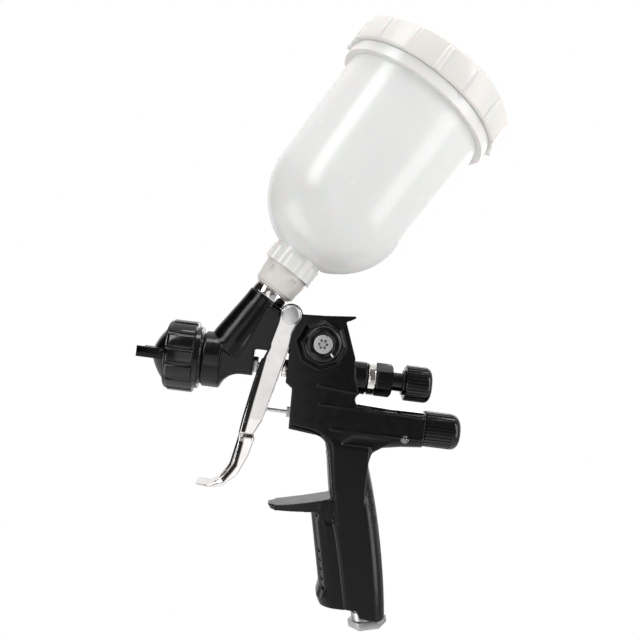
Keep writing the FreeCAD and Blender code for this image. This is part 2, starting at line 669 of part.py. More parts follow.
    boss.Solid = True
    boss.Ruled = True
    solid = fuse("casting", [head, neck, spout, block, pivot_boss, barrel, arm, handle, grip, guard, boss])

    def bore(name, radius, length, x, y, z, way):
        return put(cylinder("bore_" + name, radius, length), x, y, z, way)

    handle_air = cylinder("bore_handle_air", s.air_bore, s.air_bore_length)
    way_up = (Vector(0, 1, 0), -s.air_bore_lean)
    air_foot_x = -s.datum_x - s.inlet_spigot_length * sine(s.inlet_lean)
    put(handle_air, air_foot_x, 0, s.inlet_spigot_length - s.datum_z, way_up)
    inlet_hole = cylinder("bore_inlet", s.inlet_spigot_radius, s.inlet_spigot_length + s.inlet_hex_height)
    put_on_inlet(inlet_hole, s.inlet_spigot_length + s.inlet_hex_height)
    inlet_seat = cylinder("bore_inlet_seat", s.inlet_hex_flats, s.inlet_hex_height + s.seat_gap)
    put_on_inlet(inlet_seat, s.inlet_hex_height + s.seat_gap)
    collar_end = s.inlet_hex_height + s.inlet_collar_length
    inlet_collar_seat = cylinder("bore_inlet_collar", s.inlet_collar_radius + s.run_gap, collar_end)
    put_on_inlet(inlet_collar_seat, collar_end)
    spout_thread = cylinder("bore_spout_thread", s.spout_bore, s.fitting_spigot + 1)
    put_on_cup(spout_thread, -s.fitting_spigot)
    spout_paint = cylinder("bore_spout_paint", s.paint_bore, cup_reach)
    put_on_cup(spout_paint, -cup_reach)
    half_body = s.body_width / 2
    packing_front_x = s.window_front_x - s.packing_length - s.gland_thread_radius
    result = cut("gun_body_cast", solid, [
        bore("chamber", s.chamber_radius, s.nozzle_shoulder_x + s.ring_plate_thick - head_base_x, head_base_x,
             0, 0, BACK),
        bore("nozzle", s.nozzle_thread_radius, s.nozzle_back_x - head_base_x, head_base_x, 0, 0, BACK),
        bore("paint", s.paint_bore, packing_front_x - s.nozzle_back_x - 1, s.nozzle_back_x - 0.5, 0, 0, BACK),
        bore("needle_front", s.needle_radius + 0.2, -s.nozzle_back_x, s.nozzle_back_x, 0, 0, BACK),
        bore("packing", s.gland_thread_radius, 12, packing_front_x, 0, 0, BACK),
        bore("needle_back", s.needle_radius + 0.2, s.spring_bore_x, 0, 0, 0, BACK),
        bore("guide", s.guide_spigot_radius, s.guide_spigot_length, s.window_back_x, 0, 0, BACK),
        bore("spring", s.spring_bore, s.barrel_back_x - s.spring_bore_x + 1, s.spring_bore_x, 0, 0, BACK),
        bore("stem", s.stem_radius + 0.3, s.valve_seat_x, 0, 0, s.arm_axis_z, BACK),
        bore("stem_bush", s.stem_bush_radius, s.stem_bush_length, s.block_front_x - 1, 0, s.arm_axis_z, BACK),
        bore("valve_front", s.air_bore, 8, s.valve_seat_x - 8, 0, s.arm_axis_z, BACK),
        bore("valve", s.valve_bore, arm_bore_length + 1, s.valve_seat_x, 0, s.arm_axis_z, BACK),
        bore("fan", s.fan_spindle_radius + s.run_gap, s.fan_spindle_length, s.fan_x,
             5 - half_body, s.fan_z, LEFT),
        bore("pin", s.pin_radius, s.body_width + 2, s.pivot_x, half_body + 1, s.pivot_z, LEFT),
        bore("set_screw", s.set_screw_radius, s.set_screw_length + 2, s.set_screw_x,
             s.set_screw_length - s.arm_width / 2, s.set_screw_z, LEFT),
        handle_air,
        inlet_hole,
        inlet_seat,
        inlet_collar_seat,
        spout_thread,
        spout_paint,
    ])
    return node(result, "gun_body")


# ---- pieces seated in the body casting -----------------------------------------------------------
def ring_of(name, outer, inner, length):
    """A plain ring about its own Z."""
    return turned(name, [(inner, 0), (outer, 0), (outer, length), (inner, length)])


def air_inlet():
    hexagon = put_on_inlet(prism("inlet_hexagon", s.inlet_hex_flats, s.inlet_hex_height), s.inlet_hex_height)
    collar = cylinder("inlet_collar", s.inlet_collar_radius, s.inlet_collar_length)
    put_on_inlet(collar, s.inlet_hex_height + s.inlet_collar_length)
    spigot = cylinder("inlet_spigot", s.inlet_spigot_radius, s.inlet_spigot_length)
    put_on_inlet(spigot, s.inlet_hex_height + s.inlet_spigot_length)
    mouth = put_on_inlet(cylinder("inlet_mouth", s.inlet_bore, s.inlet_thread_length), s.inlet_thread_length)
    passage = cylinder("inlet_passage", s.air_bore, s.inlet_hex_height + s.inlet_spigot_length)
    put_on_inlet(passage, s.inlet_hex_height + s.inlet_spigot_length)
    solid = fuse("inlet_solid", [hexagon, collar, spigot])
    node(cut("air_inlet_connector_piece", solid, [mouth, passage]), "air_inlet_connector")


def nozzle_parts():
    back = s.nozzle_back_x - s.nozzle_tip_x
    hex_front = s.nozzle_hex_front_x - s.nozzle_tip_x
    shoulder = s.nozzle_shoulder_x - s.nozzle_tip_x
    nozzle = turned("nozzle_piece", [
        (s.nozzle_orifice, 0),
        (s.nozzle_tip_radius, 0),
        (s.nozzle_tip_radius, 1.6),
        (s.nozzle_tip_radius + 3, 6),
        (s.nozzle_tip_radius + 3, hex_front),
        (s.nozzle_hex_radius, hex_front),
        (s.nozzle_hex_radius, shoulder),
        (s.nozzle_thread_radius, shoulder),
        (s.nozzle_thread_radius, back),
        (s.nozzle_bore, back),
        (s.nozzle_bore, 5.2),
        (s.nozzle_orifice + 0.4, 1.2),
    ])
    node(put(nozzle, s.nozzle_tip_x, 0, 0, BACK), "fluid_nozzle")
    ring = ring_of("distribution_ring", s.chamber_radius, s.nozzle_thread_radius, s.ring_plate_thick)
    put(ring, s.nozzle_shoulder_x, 0, 0, BACK)
    middle = (s.chamber_radius + s.nozzle_thread_radius) / 2

    def hole(index, angle):
        thing = cylinder(f"distribution_hole_{index}", 1.2, s.ring_plate_thick + 2)
        return put(thing, s.nozzle_shoulder_x - 1, middle * cosine(angle), middle * sine(angle), BACK)

    holes = around(as_size(8), hole)
    node(cut("distribution_ring_piece", ring, holes), "air_distribution_ring")


def packing_parts():
    packing_x = s.window_front_x - s.packing_length - s.gland_thread_radius
    packing = ring_of("packing_ring", s.gland_thread_radius, s.needle_radius + s.run_gap, s.packing_length)
    node(put(packing, packing_x, 0, 0, BACK), "needle_packing")
    nut_thread = ring_of("gland_thread", s.gland_thread_radius, s.needle_radius + 0.2, s.gland_thread_radius)
    put(nut_thread, s.window_front_x - s.gland_thread_radius, 0, 0, BACK)
    head = prism("gland_hexagon", 2 * s.gland_radius * cosine(30), s.gland_length)
    put(head, s.window_front_x, 0, 0, BACK)
    hole = put(cylinder("gland_hole", s.needle_radius + 0.2, s.gland_length), s.window_front_x, 0, 0, BACK)
    node(fuse("packing_nut_piece", [cut("gland_head", head, [hole]), nut_thread]), "packing_nut")
    guide = turned("needle_guide_piece", [
        (s.needle_radius + s.run_gap, 0),
        (s.guide_radius - 0.4, 0),
        (s.guide_radius, 0.4),
        (s.guide_radius, s.guide_length),
        (s.guide_spigot_radius, s.guide_length),
        (s.guide_spigot_radius, s.guide_length + s.guide_spigot_length),
        (s.needle_radius + s.run_gap, s.guide_length + s.guide_spigot_length),
    ])
    node(put(guide, s.window_back_x - s.guide_length, 0, 0, BACK), "needle_guide")


def valve_parts():
    bush_x = s.block_front_x - s.stem_bush_reach
    bush_hole = s.stem_radius + s.run_gap
    bush_length = s.stem_bush_length + s.stem_bush_reach - 1
    bush = ring_of("stem_bush_piece", s.stem_bush_radius, bush_hole, bush_length)
    node(put(bush, bush_x, 0, s.arm_axis_z, BACK), "air_valve_bush")
    seat = ring_of("valve_seat_piece", s.valve_bore, s.valve_seat_bore, s.valve_seat_length)
    node(put(seat, s.valve_seat_x, 0, s.arm_axis_z, BACK), "air_valve_seat")
    sleeve_x = s.arm_back_x - s.air_sleeve_length
    sleeve = ring_of("air_sleeve_piece", s.valve_bore, s.air_spindle_radius + s.run_gap, s.air_sleeve_length)
    node(put(sleeve, sleeve_x, 0, s.arm_axis_z, BACK), "air_micrometer_sleeve")
    screw = put(cylinder("set_screw_body", s.set_screw_radius, s.set_screw_length - 1), s.set_screw_x,
                s.set_screw_length - 1 - s.arm_width / 2, s.set_screw_z, LEFT)
    socket = prism("set_screw_socket", as_size(1.8), 1.4)
    put(socket, s.set_screw_x, 1.4 - s.arm_width / 2, s.set_screw_z, LEFT)
    node(cut("set_screw_piece", screw, [socket]), "micrometer_set_screw")


def coil(name, radius, turns, first_x, last_x, height):
    """A compression spring from its wire, coil radius and turns."""
    length = last_x.value - first_x.value - s.spring_wire.value
    helix = Part.makeHelix(length / turns.value, length, radius.value)
    profile = Part.Wire(Part.makeCircle(s.spring_wire.value / 2, Vector(radius.value, 0, 0), Vector(0, 1, 0)))
    thing = doc.addObject("Part::Feature", name)
    thing.Shape = Part.Wire(helix).makePipeShell([profile], True, True)
    return node(put(thing, first_x + s.spring_wire / 2, 0, height, BACK), name)


# ---- needle and fluid adjuster -------------------------------------------------------------------
seat_x = s.spring_bore_x + 3


def needle_parts():
    tip_gap = 0.12
    tail = s.needle_tail_x - s.nozzle_tip_x
    needle = turned("needle_rod", [
        (0, 0.3),
        (s.nozzle_orifice - tip_gap, 0.3),
        (s.nozzle_orifice - tip_gap, 0.8),
        (s.needle_radius, 5.2),
        (s.needle_radius, tail),
        (0, tail),
    ])
    node(put(needle, s.nozzle_tip_x, 0, 0, BACK), "fluid_needle")
    collar = turned("needle_collar_piece", [
        (s.needle_radius, 0),
        (s.needle_collar_radius - 0.5, 0),
        (s.needle_collar_radius, 0.5),
        (s.needle_collar_radius, s.needle_collar_length - 0.5),
        (s.needle_collar_radius - 0.5, s.needle_collar_length),
        (s.needle_radius, s.needle_collar_length),
    ])
    node(put(collar, s.needle_collar_x, 0, 0, BACK), "needle_collar")
    washer = ring_of("spring_washer", s.spring_bore - s.soft_gap, s.needle_radius, s.spring_seat_length)
    node(put(washer, seat_x, 0, 0, BACK), "needle_spring_seat")
    coil("needle_spring", s.needle_spring_radius, s.needle_spring_turns, seat_x + s.spring_seat_length + s.seat_gap,
         s.barrel_back_x - s.housing_thread - s.seat_gap, 0)


def adjuster_parts():
    flange_back = s.barrel_back_x + s.housing_flange
    housing_front = s.barrel_back_x - s.housing_thread
    housing_hole = s.screw_radius + s.run_gap
    nut_radius = s.lock_nut_flats / 2 - 1.5
    housing = turned("adjuster_housing", [
        (housing_hole, 0),
        (s.spring_bore, 0),
        (s.spring_bore, s.housing_thread),
        (s.housing_radius, s.housing_thread),
        (s.housing_radius, flange_back - housing_front),
        (nut_radius, flange_back - housing_front),
        (nut_radius, flange_back - housing_front + s.lock_nut_length),
        (s.neck_radius + s.run_gap, flange_back - housing_front + s.lock_nut_length),
        (s.neck_radius + s.run_gap, flange_back - housing_front + 1),
        (housing_hole, flange_back - housing_front + 1),
    ])
    node(put(housing, housing_front, 0, 0, BACK), "fluid_adjuster_housing")
    nut = prism("lock_nut_hexagon", s.lock_nut_flats, s.lock_nut_length)
    put(nut, flange_back, 0, 0, BACK)
    bevel = turned("lock_nut_bevel", [
        (0, 0),
        (s.lock_nut_flats / 2, 0),
        (s.lock_nut_flats / 2 + 1.6, 1.2),
        (s.lock_nut_flats / 2 + 1.6, s.lock_nut_length - 1.2),
        (s.lock_nut_flats / 2, s.lock_nut_length),
        (0, s.lock_nut_length),
    ])
    put(bevel, flange_back, 0, 0, BACK)
    rounded = doc.addObject("Part::MultiCommon", "lock_nut_rounded")
    rounded.Shapes = [nut, bevel]
    hole = put(cylinder("lock_nut_hole", nut_radius, s.lock_nut_length), flange_back, 0, 0, BACK)
    node(cut("lock_nut_piece", rounded, [hole]), "lock_nut")
    stop = cylinder("needle_stop_piece", s.screw_radius, s.stop_length)
    node(put(stop, s.stop_x, 0, 0, BACK), "needle_stop")
    screw_front = s.stop_x + s.stop_length + s.seat_gap
    knob_inside = s.fluid_knob_x + s.fluid_knob_length - 3
    neck_front = flange_back + 1 + 4
    screw = turned("adjusting_screw", [
        (0, 0),
        (s.screw_radius, 0),
        (s.screw_radius, neck_front - screw_front),
        (s.neck_radius, neck_front - screw_front),
        (s.neck_radius, knob_inside - screw_front),
        (0, knob_inside - screw_front),
    ])
    node(put(screw, screw_front, 0, 0, BACK), "fluid_adjusting_screw")
    knob = knurled("fluid_knob_piece", s.fluid_knob_x, s.fluid_knob_length, 3.3, 0)
    bore = cylinder("fluid_knob_bore", s.neck_radius, knob_inside - s.fluid_knob_x)
    put(bore, s.fluid_knob_x, 0, 0, BACK)
    node(cut("fluid_knob_bored", knob, [bore]), "fluid_knob")
    collar = ring_of("knob_collar_piece", s.neck_radius + 1.8, s.neck_radius, 1.5)
    node(put(collar, s.fluid_knob_x - 1.5, 0, 0, BACK), "fluid_knob_collar")


def knurled(name, front, length, dome, height):
    """A knob with ridges around its straight part and a domed end."""
    body = turned(name, [
        (0, 0),
        (s.knob_radius - 0.6, 0),
        (s.knob_radius, 0.6),
        (s.knob_radius, length - dome),
        (s.knob_shoulder_radius, length - 0.35, -0.16),
        (0, length),
    ])
    put(body, front, 0, height, BACK)

    def groove(index, angle):
        thing = cylinder(f"{name}_groove_{index}", s.knob_ridge_depth, length - dome + 1)
        across = s.knob_radius * sine(angle)
        return put(thing, front - 1, across, height + s.knob_radius * cosine(angle), BACK)

    return cut(name + "_knurled", body, around(s.knob_ridge_count, groove))


# ---- air valve -----------------------------------------------------------------------------------
def air_valve():
    piston_x = s.valve_seat_x + s.valve_seat_length + s.seat_gap
    stem_length = piston_x + s.piston_length - s.stem_front_x
    stem = cylinder("valve_stem", s.stem_radius, stem_length)
    node(put(stem, s.stem_front_x, 0, s.arm_axis_z, BACK), "air_valve_stem")
    piston = ring_of("valve_piston", s.piston_radius, s.stem_radius, s.piston_length)
    node(put(piston, piston_x, 0, s.arm_axis_z, BACK), "air_valve_piston")
    coil("air_valve_spring", s.air_spring_radius, s.air_spring_turns, piston_x + s.piston_length + s.seat_gap,
         s.air_seat_x - s.seat_gap, s.arm_axis_z)
    spindle_length = s.arm_back_x + s.air_knob_length - 6 - s.air_seat_x
    spindle = cylinder("micrometer_spindle", s.air_spindle_radius, spindle_length)
    node(put(spindle, s.air_seat_x, 0, s.arm_axis_z, BACK), "air_micrometer_spindle")
    knob_x = s.arm_back_x + s.soft_gap
    knob = knurled("air_knob_piece", knob_x, s.air_knob_length - s.soft_gap, 5, s.arm_axis_z)
    hole = cylinder("air_knob_bore", s.air_spindle_radius, s.air_seat_x + spindle_length - knob_x)
    put(hole, knob_x, 0, s.arm_axis_z, BACK)
    node(cut("air_knob_bored", knob, [hole]), "air_micrometer_knob")


# ---- fan width control ---------------------------------------------------------------------------
def fan_control():
    boss_y = -(s.body_width / 2 - 0.5 + s.fan_boss_height)
    knob_y = boss_y - s.soft_gap
    inner_y = 5 - s.seat_gap - s.body_width / 2
    knob = turned("fan_knob_piece", [
        (0, 0),
        (s.fan_knob_radius, 0),
        (s.fan_knob_radius, s.fan_knob_length - 1.2),
        (s.fan_knob_radius - 1.2, s.fan_knob_length, -0.15),
        (s.fan_screw_radius + 0.3, s.fan_knob_length),
        (s.fan_screw_radius + 0.3, s.fan_knob_length - 0.8),
        (s.fan_shank_radius, s.fan_knob_length - 0.8),
        (s.fan_shank_radius, s.fan_knob_length - 4),
        (0, s.fan_knob_length - 4),
    ])
    put(knob, s.fan_x, knob_y, s.fan_z, LEFT)
    node(knob, "fan_knob")
    spindle = cylinder("fan_spindle_rod", s.fan_spindle_radius, inner_y - knob_y)
    put(spindle, s.fan_x, inner_y, s.fan_z, LEFT)
    groove_floor = s.fan_spindle_radius - 2 * s.seal_section - s.run_gap
    groove = ring_of("fan_seal_groove", s.fan_spindle_radius + 1, groove_floor, 2 * (s.seal_section + s.run_gap))
    put(groove, s.fan_x, boss_y + 6 + s.seal_section + s.run_gap, s.fan_z, LEFT)
    node(cut("fan_spindle_piece", spindle, [groove]), "fan_spindle")
    seal = doc.addObject("Part::Torus", "fan_seal")
    bind(seal, Radius1=s.fan_spindle_radius - s.seal_section, Radius2=s.seal_section)
    node(put(seal, s.fan_x, boss_y + 6, s.fan_z, LEFT), "fan_spindle_seal")
    head_y = knob_y - s.fan_knob_length + 0.8
    head = cylinder("fan_screw_head", s.fan_screw_radius, s.fan_screw_length)
    put(head, s.fan_x, head_y, s.fan_z, LEFT)
    shank = cylinder("fan_screw_shank", s.fan_shank_radius, 3.2)
    put(shank, s.fan_x, head_y + 3.2, s.fan_z, LEFT)
    socket = prism("fan_screw_socket", as_size(3.4), 1.0)
    put(socket, s.fan_x, head_y - s.fan_screw_length + 0.9, s.fan_z, LEFT)
    solid = fuse("fan_screw_solid", [head, shank])
    node(cut("fan_screw_piece", solid, [socket]), "fan_knob_screw")


# ---- air cap and its ring ------------------------------------------------------------------------
def air_cap():
    base = s.cap_front_x
    edge = s.cap_edge_x - base
    flange = s.cap_flange_front_x - base
    flange_back = flange + s.cap_flange_thick
    cap = turned("air_cap_dome", [
        (s.nozzle_tip_radius + 0.5, 0),
        (s.cap_front_radius, 0),
        (s.cap_edge_radius, edge, -0.05),
        (s.cap_edge_radius, flange),
        (s.cap_flange_radius, flange),
        (s.cap_flange_radius, flange_back),
        (s.cap_edge_radius - s.cap_wall, flange_back),
        (s.cap_edge_radius - s.cap_wall, edge + 0.6),
        (s.cap_front_radius + 2, s.cap_wall + 0.4),
        (s.nozzle_tip_radius + 0.5, 0.9),
    ])
    put(cap, base, 0, 0, BACK)
    tools = []
    for side, sign in (("left", -1), ("right", 1)):
        horn = doc.addObject("PartDesign::Body", "horn_" + side)
        sketch = outline(horn, "XY_Plane", [
            (-s.horn_reach, s.horn_inner + 2.2),
            (-s.horn_reach + 4.5, s.horn_inner),
            (-3, s.horn_inner - 2.4),
            (0.4, s.horn_inner - 2.4),
            (0.4, s.cap_edge_radius - 0.2),
            (-6, s.cap_edge_radius - 1.2),
            (-s.horn_reach, s.horn_inner + 4.6),
        ], f"horn_{side}_outline")
        pad = horn.newObject("PartDesign::Pad", f"horn_{side}_pad")
        pad.Profile = (sketch, [""])
        pad.SideType = "Symmetric"
        bind(pad, Length=s.horn_width)
        horn.Placement = FreeCAD.Placement(Vector(0, 0, 0), Rotation(Vector(1, 0, 0), 0 if sign > 0 else 180))
        for letter, amount in zip("xyz", (s.datum_x + s.cap_edge_x, as_size(0), s.datum_z)):
            horn.setExpression(f"Placement.Base.{letter}", amount.text)
        tools.append(horn)
    node(fuse("air_cap_piece", [cap] + tools), "air_cap")


def cap_ring():
    length = s.ring_collar_x - s.ring_front_x
    lip = s.cap_flange_front_x - s.seat_gap - s.ring_front_x
    rib_end = s.ring_back_x - s.ring_front_x
    thread_front = head_base_x - s.ring_front_x
    ring = turned("cap_ring_blank", [
        (s.cap_edge_radius + s.soft_gap, 0),
        (s.ring_front_radius - 0.8, 0),
        (s.ring_front_radius, 0.8),
        (s.ring_radius, 2.6, 0.12),
        (s.ring_radius, rib_end - 0.8),
        (s.ring_radius - 0.8, rib_end),
        (s.ring_collar_radius, rib_end),
        (s.ring_collar_radius, length),
        (s.head_thread_radius + s.run_gap, length),
        (s.head_thread_radius + s.run_gap, thread_front),
        (s.cap_flange_radius + s.run_gap, thread_front),
        (s.cap_flange_radius + s.run_gap, lip),
        (s.cap_edge_radius + s.soft_gap, lip),
    ])
    put(ring, s.ring_front_x, 0, 0, BACK)

    def groove(index, angle):
        thing = cylinder(f"cap_ring_groove_{index}", s.ring_groove_radius, rib_end + 2)
        shifted = angle + 180 / s.ring_groove_count
        reach = s.ring_radius + s.ring_groove_radius * 0.35
        return put(thing, s.ring_front_x - 1, reach * cosine(shifted), reach * sine(shifted), BACK)

    node(cut("cap_ring_piece", ring, around(s.ring_groove_count, groove)), "air_cap_ring")
    clip_x = s.cap_flange_front_x + s.cap_flange_thick + s.seat_gap
    clip = ring_of("cap_clip_piece", s.cap_flange_radius - s.run_gap, s.cap_edge_radius - 0.6, s.clip_thick)
    node(put(clip, clip_x, 0, 0, BACK), "cap_clip_ring")


# ---- trigger -------------------------------------------------------------------------------------
def trigger():
    inner = s.body_width + 2 * s.trigger_gap
    outer = inner + 2 * s.trigger_wall
    upper = put(plate("trigger_arms", trigger_arms_outline(), outer))
    lower = put(plate("trigger_finger_part", trigger_finger_outline(), s.trigger_lower_width))
    inside = put(plate("trigger_arms_inside", trigger_arms_inside(), inner))
    lower_inside = s.trigger_lower_width - 2 * s.trigger_wall
    hollow = put(plate("trigger_finger_inside", trigger_finger_inside(), lower_inside))
    eye = put(cylinder("trigger_eye", s.trigger_eye_radius, outer), s.pivot_x, outer / 2, s.pivot_z, LEFT)
    eye_inside = cylinder("trigger_eye_inside", s.trigger_eye_radius + 0.4, inner)
    put(eye_inside, s.pivot_x, inner / 2, s.pivot_z, LEFT)
    pin_hole = cylinder("trigger_pin_hole", s.pin_radius + s.run_gap, outer + 2)
    put(pin_hole, s.pivot_x, outer / 2 + 1, s.pivot_z, LEFT)
    slot = doc.addObject("Part::Box", "trigger_needle_slot")
    slot_width = 2 * (s.needle_radius + 1)
    bind(slot, Length=20 * s.trigger_unit, Width=slot_width, Height=14 * s.trigger_unit)
    put(slot, -24 * s.trigger_unit, -slot_width / 2, -6 * s.trigger_unit)
    solid = fuse("trigger_solid", [upper, lower, eye])
    node(cut("trigger_piece", solid, [inside, hollow, eye_inside, pin_hole, slot]), "trigger")
    head_y = outer / 2 + s.seat_gap
    pin = cylinder("pin_shaft", s.pin_radius, 2 * head_y + s.pin_head_length)
    put(pin, s.pivot_x, head_y, s.pivot_z, LEFT)
    head = turned("pin_head", [
        (0, 0),
        (s.pin_head_radius, 0),
        (s.pin_head_radius, 0.6),
        (s.pin_head_radius - 0.7, s.pin_head_length),
        (0, s.pin_head_length),
    ])
    put(head, s.pivot_x, -head_y, s.pivot_z, LEFT)
    node(fuse("trigger_pin_piece", [pin, head]), "trigger_pin")
    washer = cylinder("pin_cap", s.pin_head_radius, s.pin_head_length)
    put(washer, s.pivot_x, head_y + s.pin_head_length, s.pivot_z, LEFT)
    node(washer, "trigger_pin_screw")


def trigger_corners(corners):
    """Corner points whose plain numbers count the trigger's unit."""
    def scaled(number):
        return number if isinstance(number, Size) else number * s.trigger_unit

    return [[scaled(number) for number in corner] for corner in corners]


def trigger_arms_outline():
    """Side view of the arms and the front wall between them, down to the notch above the finger part."""
    return trigger_corners([
        (s.pivot_x - s.trigger_eye_radius + 0.1, s.pivot_z),
        (-6, 25),
        (-9.5, 11),
        (-13.5, 3),
        (-16.5, -10),
        (-20, -30),
        (-21.2, -40.6),
        (-19.7, -40.6),
        (-19.4, -38.2),
        (-12.5, -38.2),
        (-8.5, -30),
        (-4, -12),
        (0, 5),
        (1.5, 12),
        (2.2, 20),
        (s.pivot_x + s.trigger_eye_radius - 0.1, s.pivot_z),
    ])


def trigger_finger_outline():
    """Side view of the finger part, with the lip that turns forward at its foot."""
    return trigger_corners([
        (-21.0, -38.5),
        (-21.4, -42),
        (-24.2, -57),
        (-29, -65.5),
        (-34.5, -69.6),
        (-42, -69.4),
        (-41.5, -70.4),
        (-34.5, -70.9),
        (-27, -69.7),
        (-19, -62.5),
        (-14, -51),
        (-12.2, -43),
        (-13, -40.7),
        (-19.6, -40.6),
        (-19.7, -38.5),
    ])


def trigger_arms_inside():
    """Side view of the space between the arms: open to the back and over the needle."""
    wall = s.trigger_wall
    return trigger_corners([
        (-20, 40),
        (-20, 6),
        (wall - 14.6 * s.trigger_unit, 6),
        (wall - 13.2 * s.trigger_unit, 3),
        (wall - 16.2 * s.trigger_unit, -10),
        (wall - 19.7 * s.trigger_unit, -30),
        (wall - 20.7 * s.trigger_unit, -39),
        (10, -39),
        (10, 40),
    ])


def trigger_finger_inside():
    """Side view of the finger part's channel, open to the back."""
    wall = s.trigger_wall
    return trigger_corners([
        (wall - 20.9 * s.trigger_unit, -40),
        (wall - 21.1 * s.trigger_unit, -42),
        (wall - 23.9 * s.trigger_unit, -57),
        (wall - 28.4 * s.trigger_unit, -64.4),
        (wall - 33.6 * s.trigger_unit, -68.4),
        (-28, -74),
        (10, -74),
        (10, -40),
    ])


# ---- cup and lid ---------------------------------------------------------------------------------
def cup_parts():
    fitting = turned("fitting_piece", [
        (s.fitting_bore, -s.fitting_spigot),
        (s.spout_bore, -s.fitting_spigot),
        (s.spout_bore, 0),
        (s.fitting_radius - s.fitting_edge, 0),
        (s.fitting_radius, s.fitting_edge),
        (s.fitting_radius, s.fitting_flange - s.fitting_edge),
        (s.fitting_radius - s.fitting_edge, s.fitting_flange),
        (s.fitting_stud_radius, s.fitting_flange),
        (s.fitting_stud_radius, s.fitting_flange + s.fitting_stud_length),
        (s.fitting_bore, s.fitting_flange + s.fitting_stud_length),
    ])
    node(put_on_cup(fitting), "cup_inlet_fitting")
    gasket_at = s.fitting_flange + s.fitting_stud_length + s.seat_gap
    gasket = ring_of("cup_gasket_piece", s.fitting_stud_radius - s.run_gap, s.fitting_bore, s.gasket_thick)
    node(put_on_cup(gasket, gasket_at), "cup_gasket")
    nut_at = s.fitting_flange + s.seat_gap
    nut_top = s.adapter_length - s.seat_gap
    thread_depth = gasket_at + s.gasket_thick + s.seat_gap - nut_at
    nut = turned("adapter_blank", [
        (s.fitting_stud_radius + s.run_gap, 0),
        (s.adapter_bottom_radius - s.adapter_edge, 0),
        (s.adapter_bottom_radius, s.adapter_edge, 0.2),
        (s.adapter_top_radius, nut_top - s.adapter_band),
        (s.adapter_top_radius, nut_top),
        (s.adapter_neck_radius, nut_top),
        (s.adapter_neck_radius, nut_top + s.adapter_neck_length),
        (s.fitting_bore, nut_top + s.adapter_neck_length),
        (s.fitting_bore, thread_depth),
        (s.fitting_stud_radius + s.run_gap, thread_depth),
    ])
    put_on_cup(nut, nut_at)
    notches = around(s.adapter_notch_count, adapter_notch)
    node(cut("adapter_piece", nut, notches), "cup_nut")
    cup_at = s.fitting_flange + s.adapter_length
    strainer_at = cup_at + s.adapter_neck_length - s.strainer_seat
    strainer_end = s.strainer_radius - s.strainer_taper
    strainer = turned("strainer_piece", [
        (s.strainer_radius - s.strainer_wall, 0),
        (s.strainer_radius, 0),
        (s.strainer_radius, s.strainer_length - s.strainer_taper_length),
        (strainer_end, s.strainer_length),
        (0, s.strainer_length),
        (0, s.strainer_length - s.strainer_wall),
        (strainer_end - s.strainer_wall / 2, s.strainer_length - s.strainer_wall),
        (s.strainer_radius - s.strainer_wall, s.strainer_length - s.strainer_taper_length),
    ])
    put_on_cup(strainer, strainer_at)
    node(strainer, "paint_strainer")
    dome_centre = s.cup_flange_length + s.cup_radius
    inner_radius = s.cup_radius - s.cup_wall
    rim_at = s.cup_height - s.cup_rim_length
    mouth = s.cup_height + s.cup_thread_length
    rim_radius = s.cup_mouth_radius + s.cup_rim_reach
    half = math.sqrt(0.5)
    cup = turned("cup_shell", [
        (s.adapter_neck_radius, 0),
        (s.cup_flange_radius - s.cup_foot_inset, 0),
        (s.cup_flange_radius - s.cup_foot_inset, s.cup_flange_length + s.cup_foot_height),
        (s.cup_radius * half, dome_centre - s.cup_radius * half, -0.055),
        (s.cup_radius, dome_centre, -0.0995),
        (s.cup_mouth_radius, rim_at),
        (rim_radius, rim_at),
        (rim_radius, s.cup_height),
        (s.cup_mouth_radius, s.cup_height),
        (s.cup_mouth_radius, mouth),
        (s.cup_mouth_radius - s.cup_wall, mouth),
        (s.cup_mouth_radius - s.cup_wall, rim_at),
        (inner_radius, dome_centre),
        (inner_radius * half, dome_centre - inner_radius * half, 0.0995),
        (s.adapter_neck_radius, s.cup_flange_length + s.cup_floor, 0.071),
    ])
    put_on_cup(cup, cup_at)
    lobes = []
    for index in range(6):
        lobe = cylinder(f"cup_lobe_{index}", s.cup_flange_radius * 0.42, s.cup_flange_length)
        reach = s.cup_flange_radius * 0.58
        lean_x = reach * cosine(60 * index + 30)
        across = s.spout_x + cup_at * sine(s.cup_lean) + lean_x * cosine(s.cup_lean)
        up = s.spout_z + cup_at * cosine(s.cup_lean) - lean_x * sine(s.cup_lean)
        put(lobe, across, reach * sine(60 * index + 30), up, CUP)
        lobes.append(lobe)
    hollow = cylinder("cup_hollow", s.adapter_neck_radius, s.cup_flange_length + 2 * s.cup_floor)
    put_on_cup(hollow, cup_at)
    node(cut("cup_piece", fuse("cup_solid", [cup] + lobes), [hollow]), "cup")
    top_at = cup_at + mouth + s.seat_gap
    gasket = ring_of("lid_gasket_piece", s.cup_mouth_radius, s.cup_mouth_radius - s.lid_gasket_width,
                     s.gasket_thick)
    node(put_on_cup(gasket, top_at), "lid_gasket")
    lid_at = cup_at + s.cup_height + s.soft_gap
    lid_inside = s.cup_thread_length + s.gasket_thick + 2 * s.seat_gap - s.soft_gap
    thread = s.cup_mouth_radius + s.run_gap
    lid_radius = thread + s.lid_skirt
    lid = turned("lid_blank", [
        (thread, 0),
        (lid_radius - s.lid_edge, 0),
        (lid_radius, s.lid_edge),
        (lid_radius, s.lid_height - s.lid_crown),
        (lid_radius - s.lid_crown, s.lid_height, -0.2),
        (s.vent_radius, s.lid_height),
        (s.vent_radius, lid_inside),
        (thread, lid_inside),
    ])
    put_on_cup(lid, lid_at)

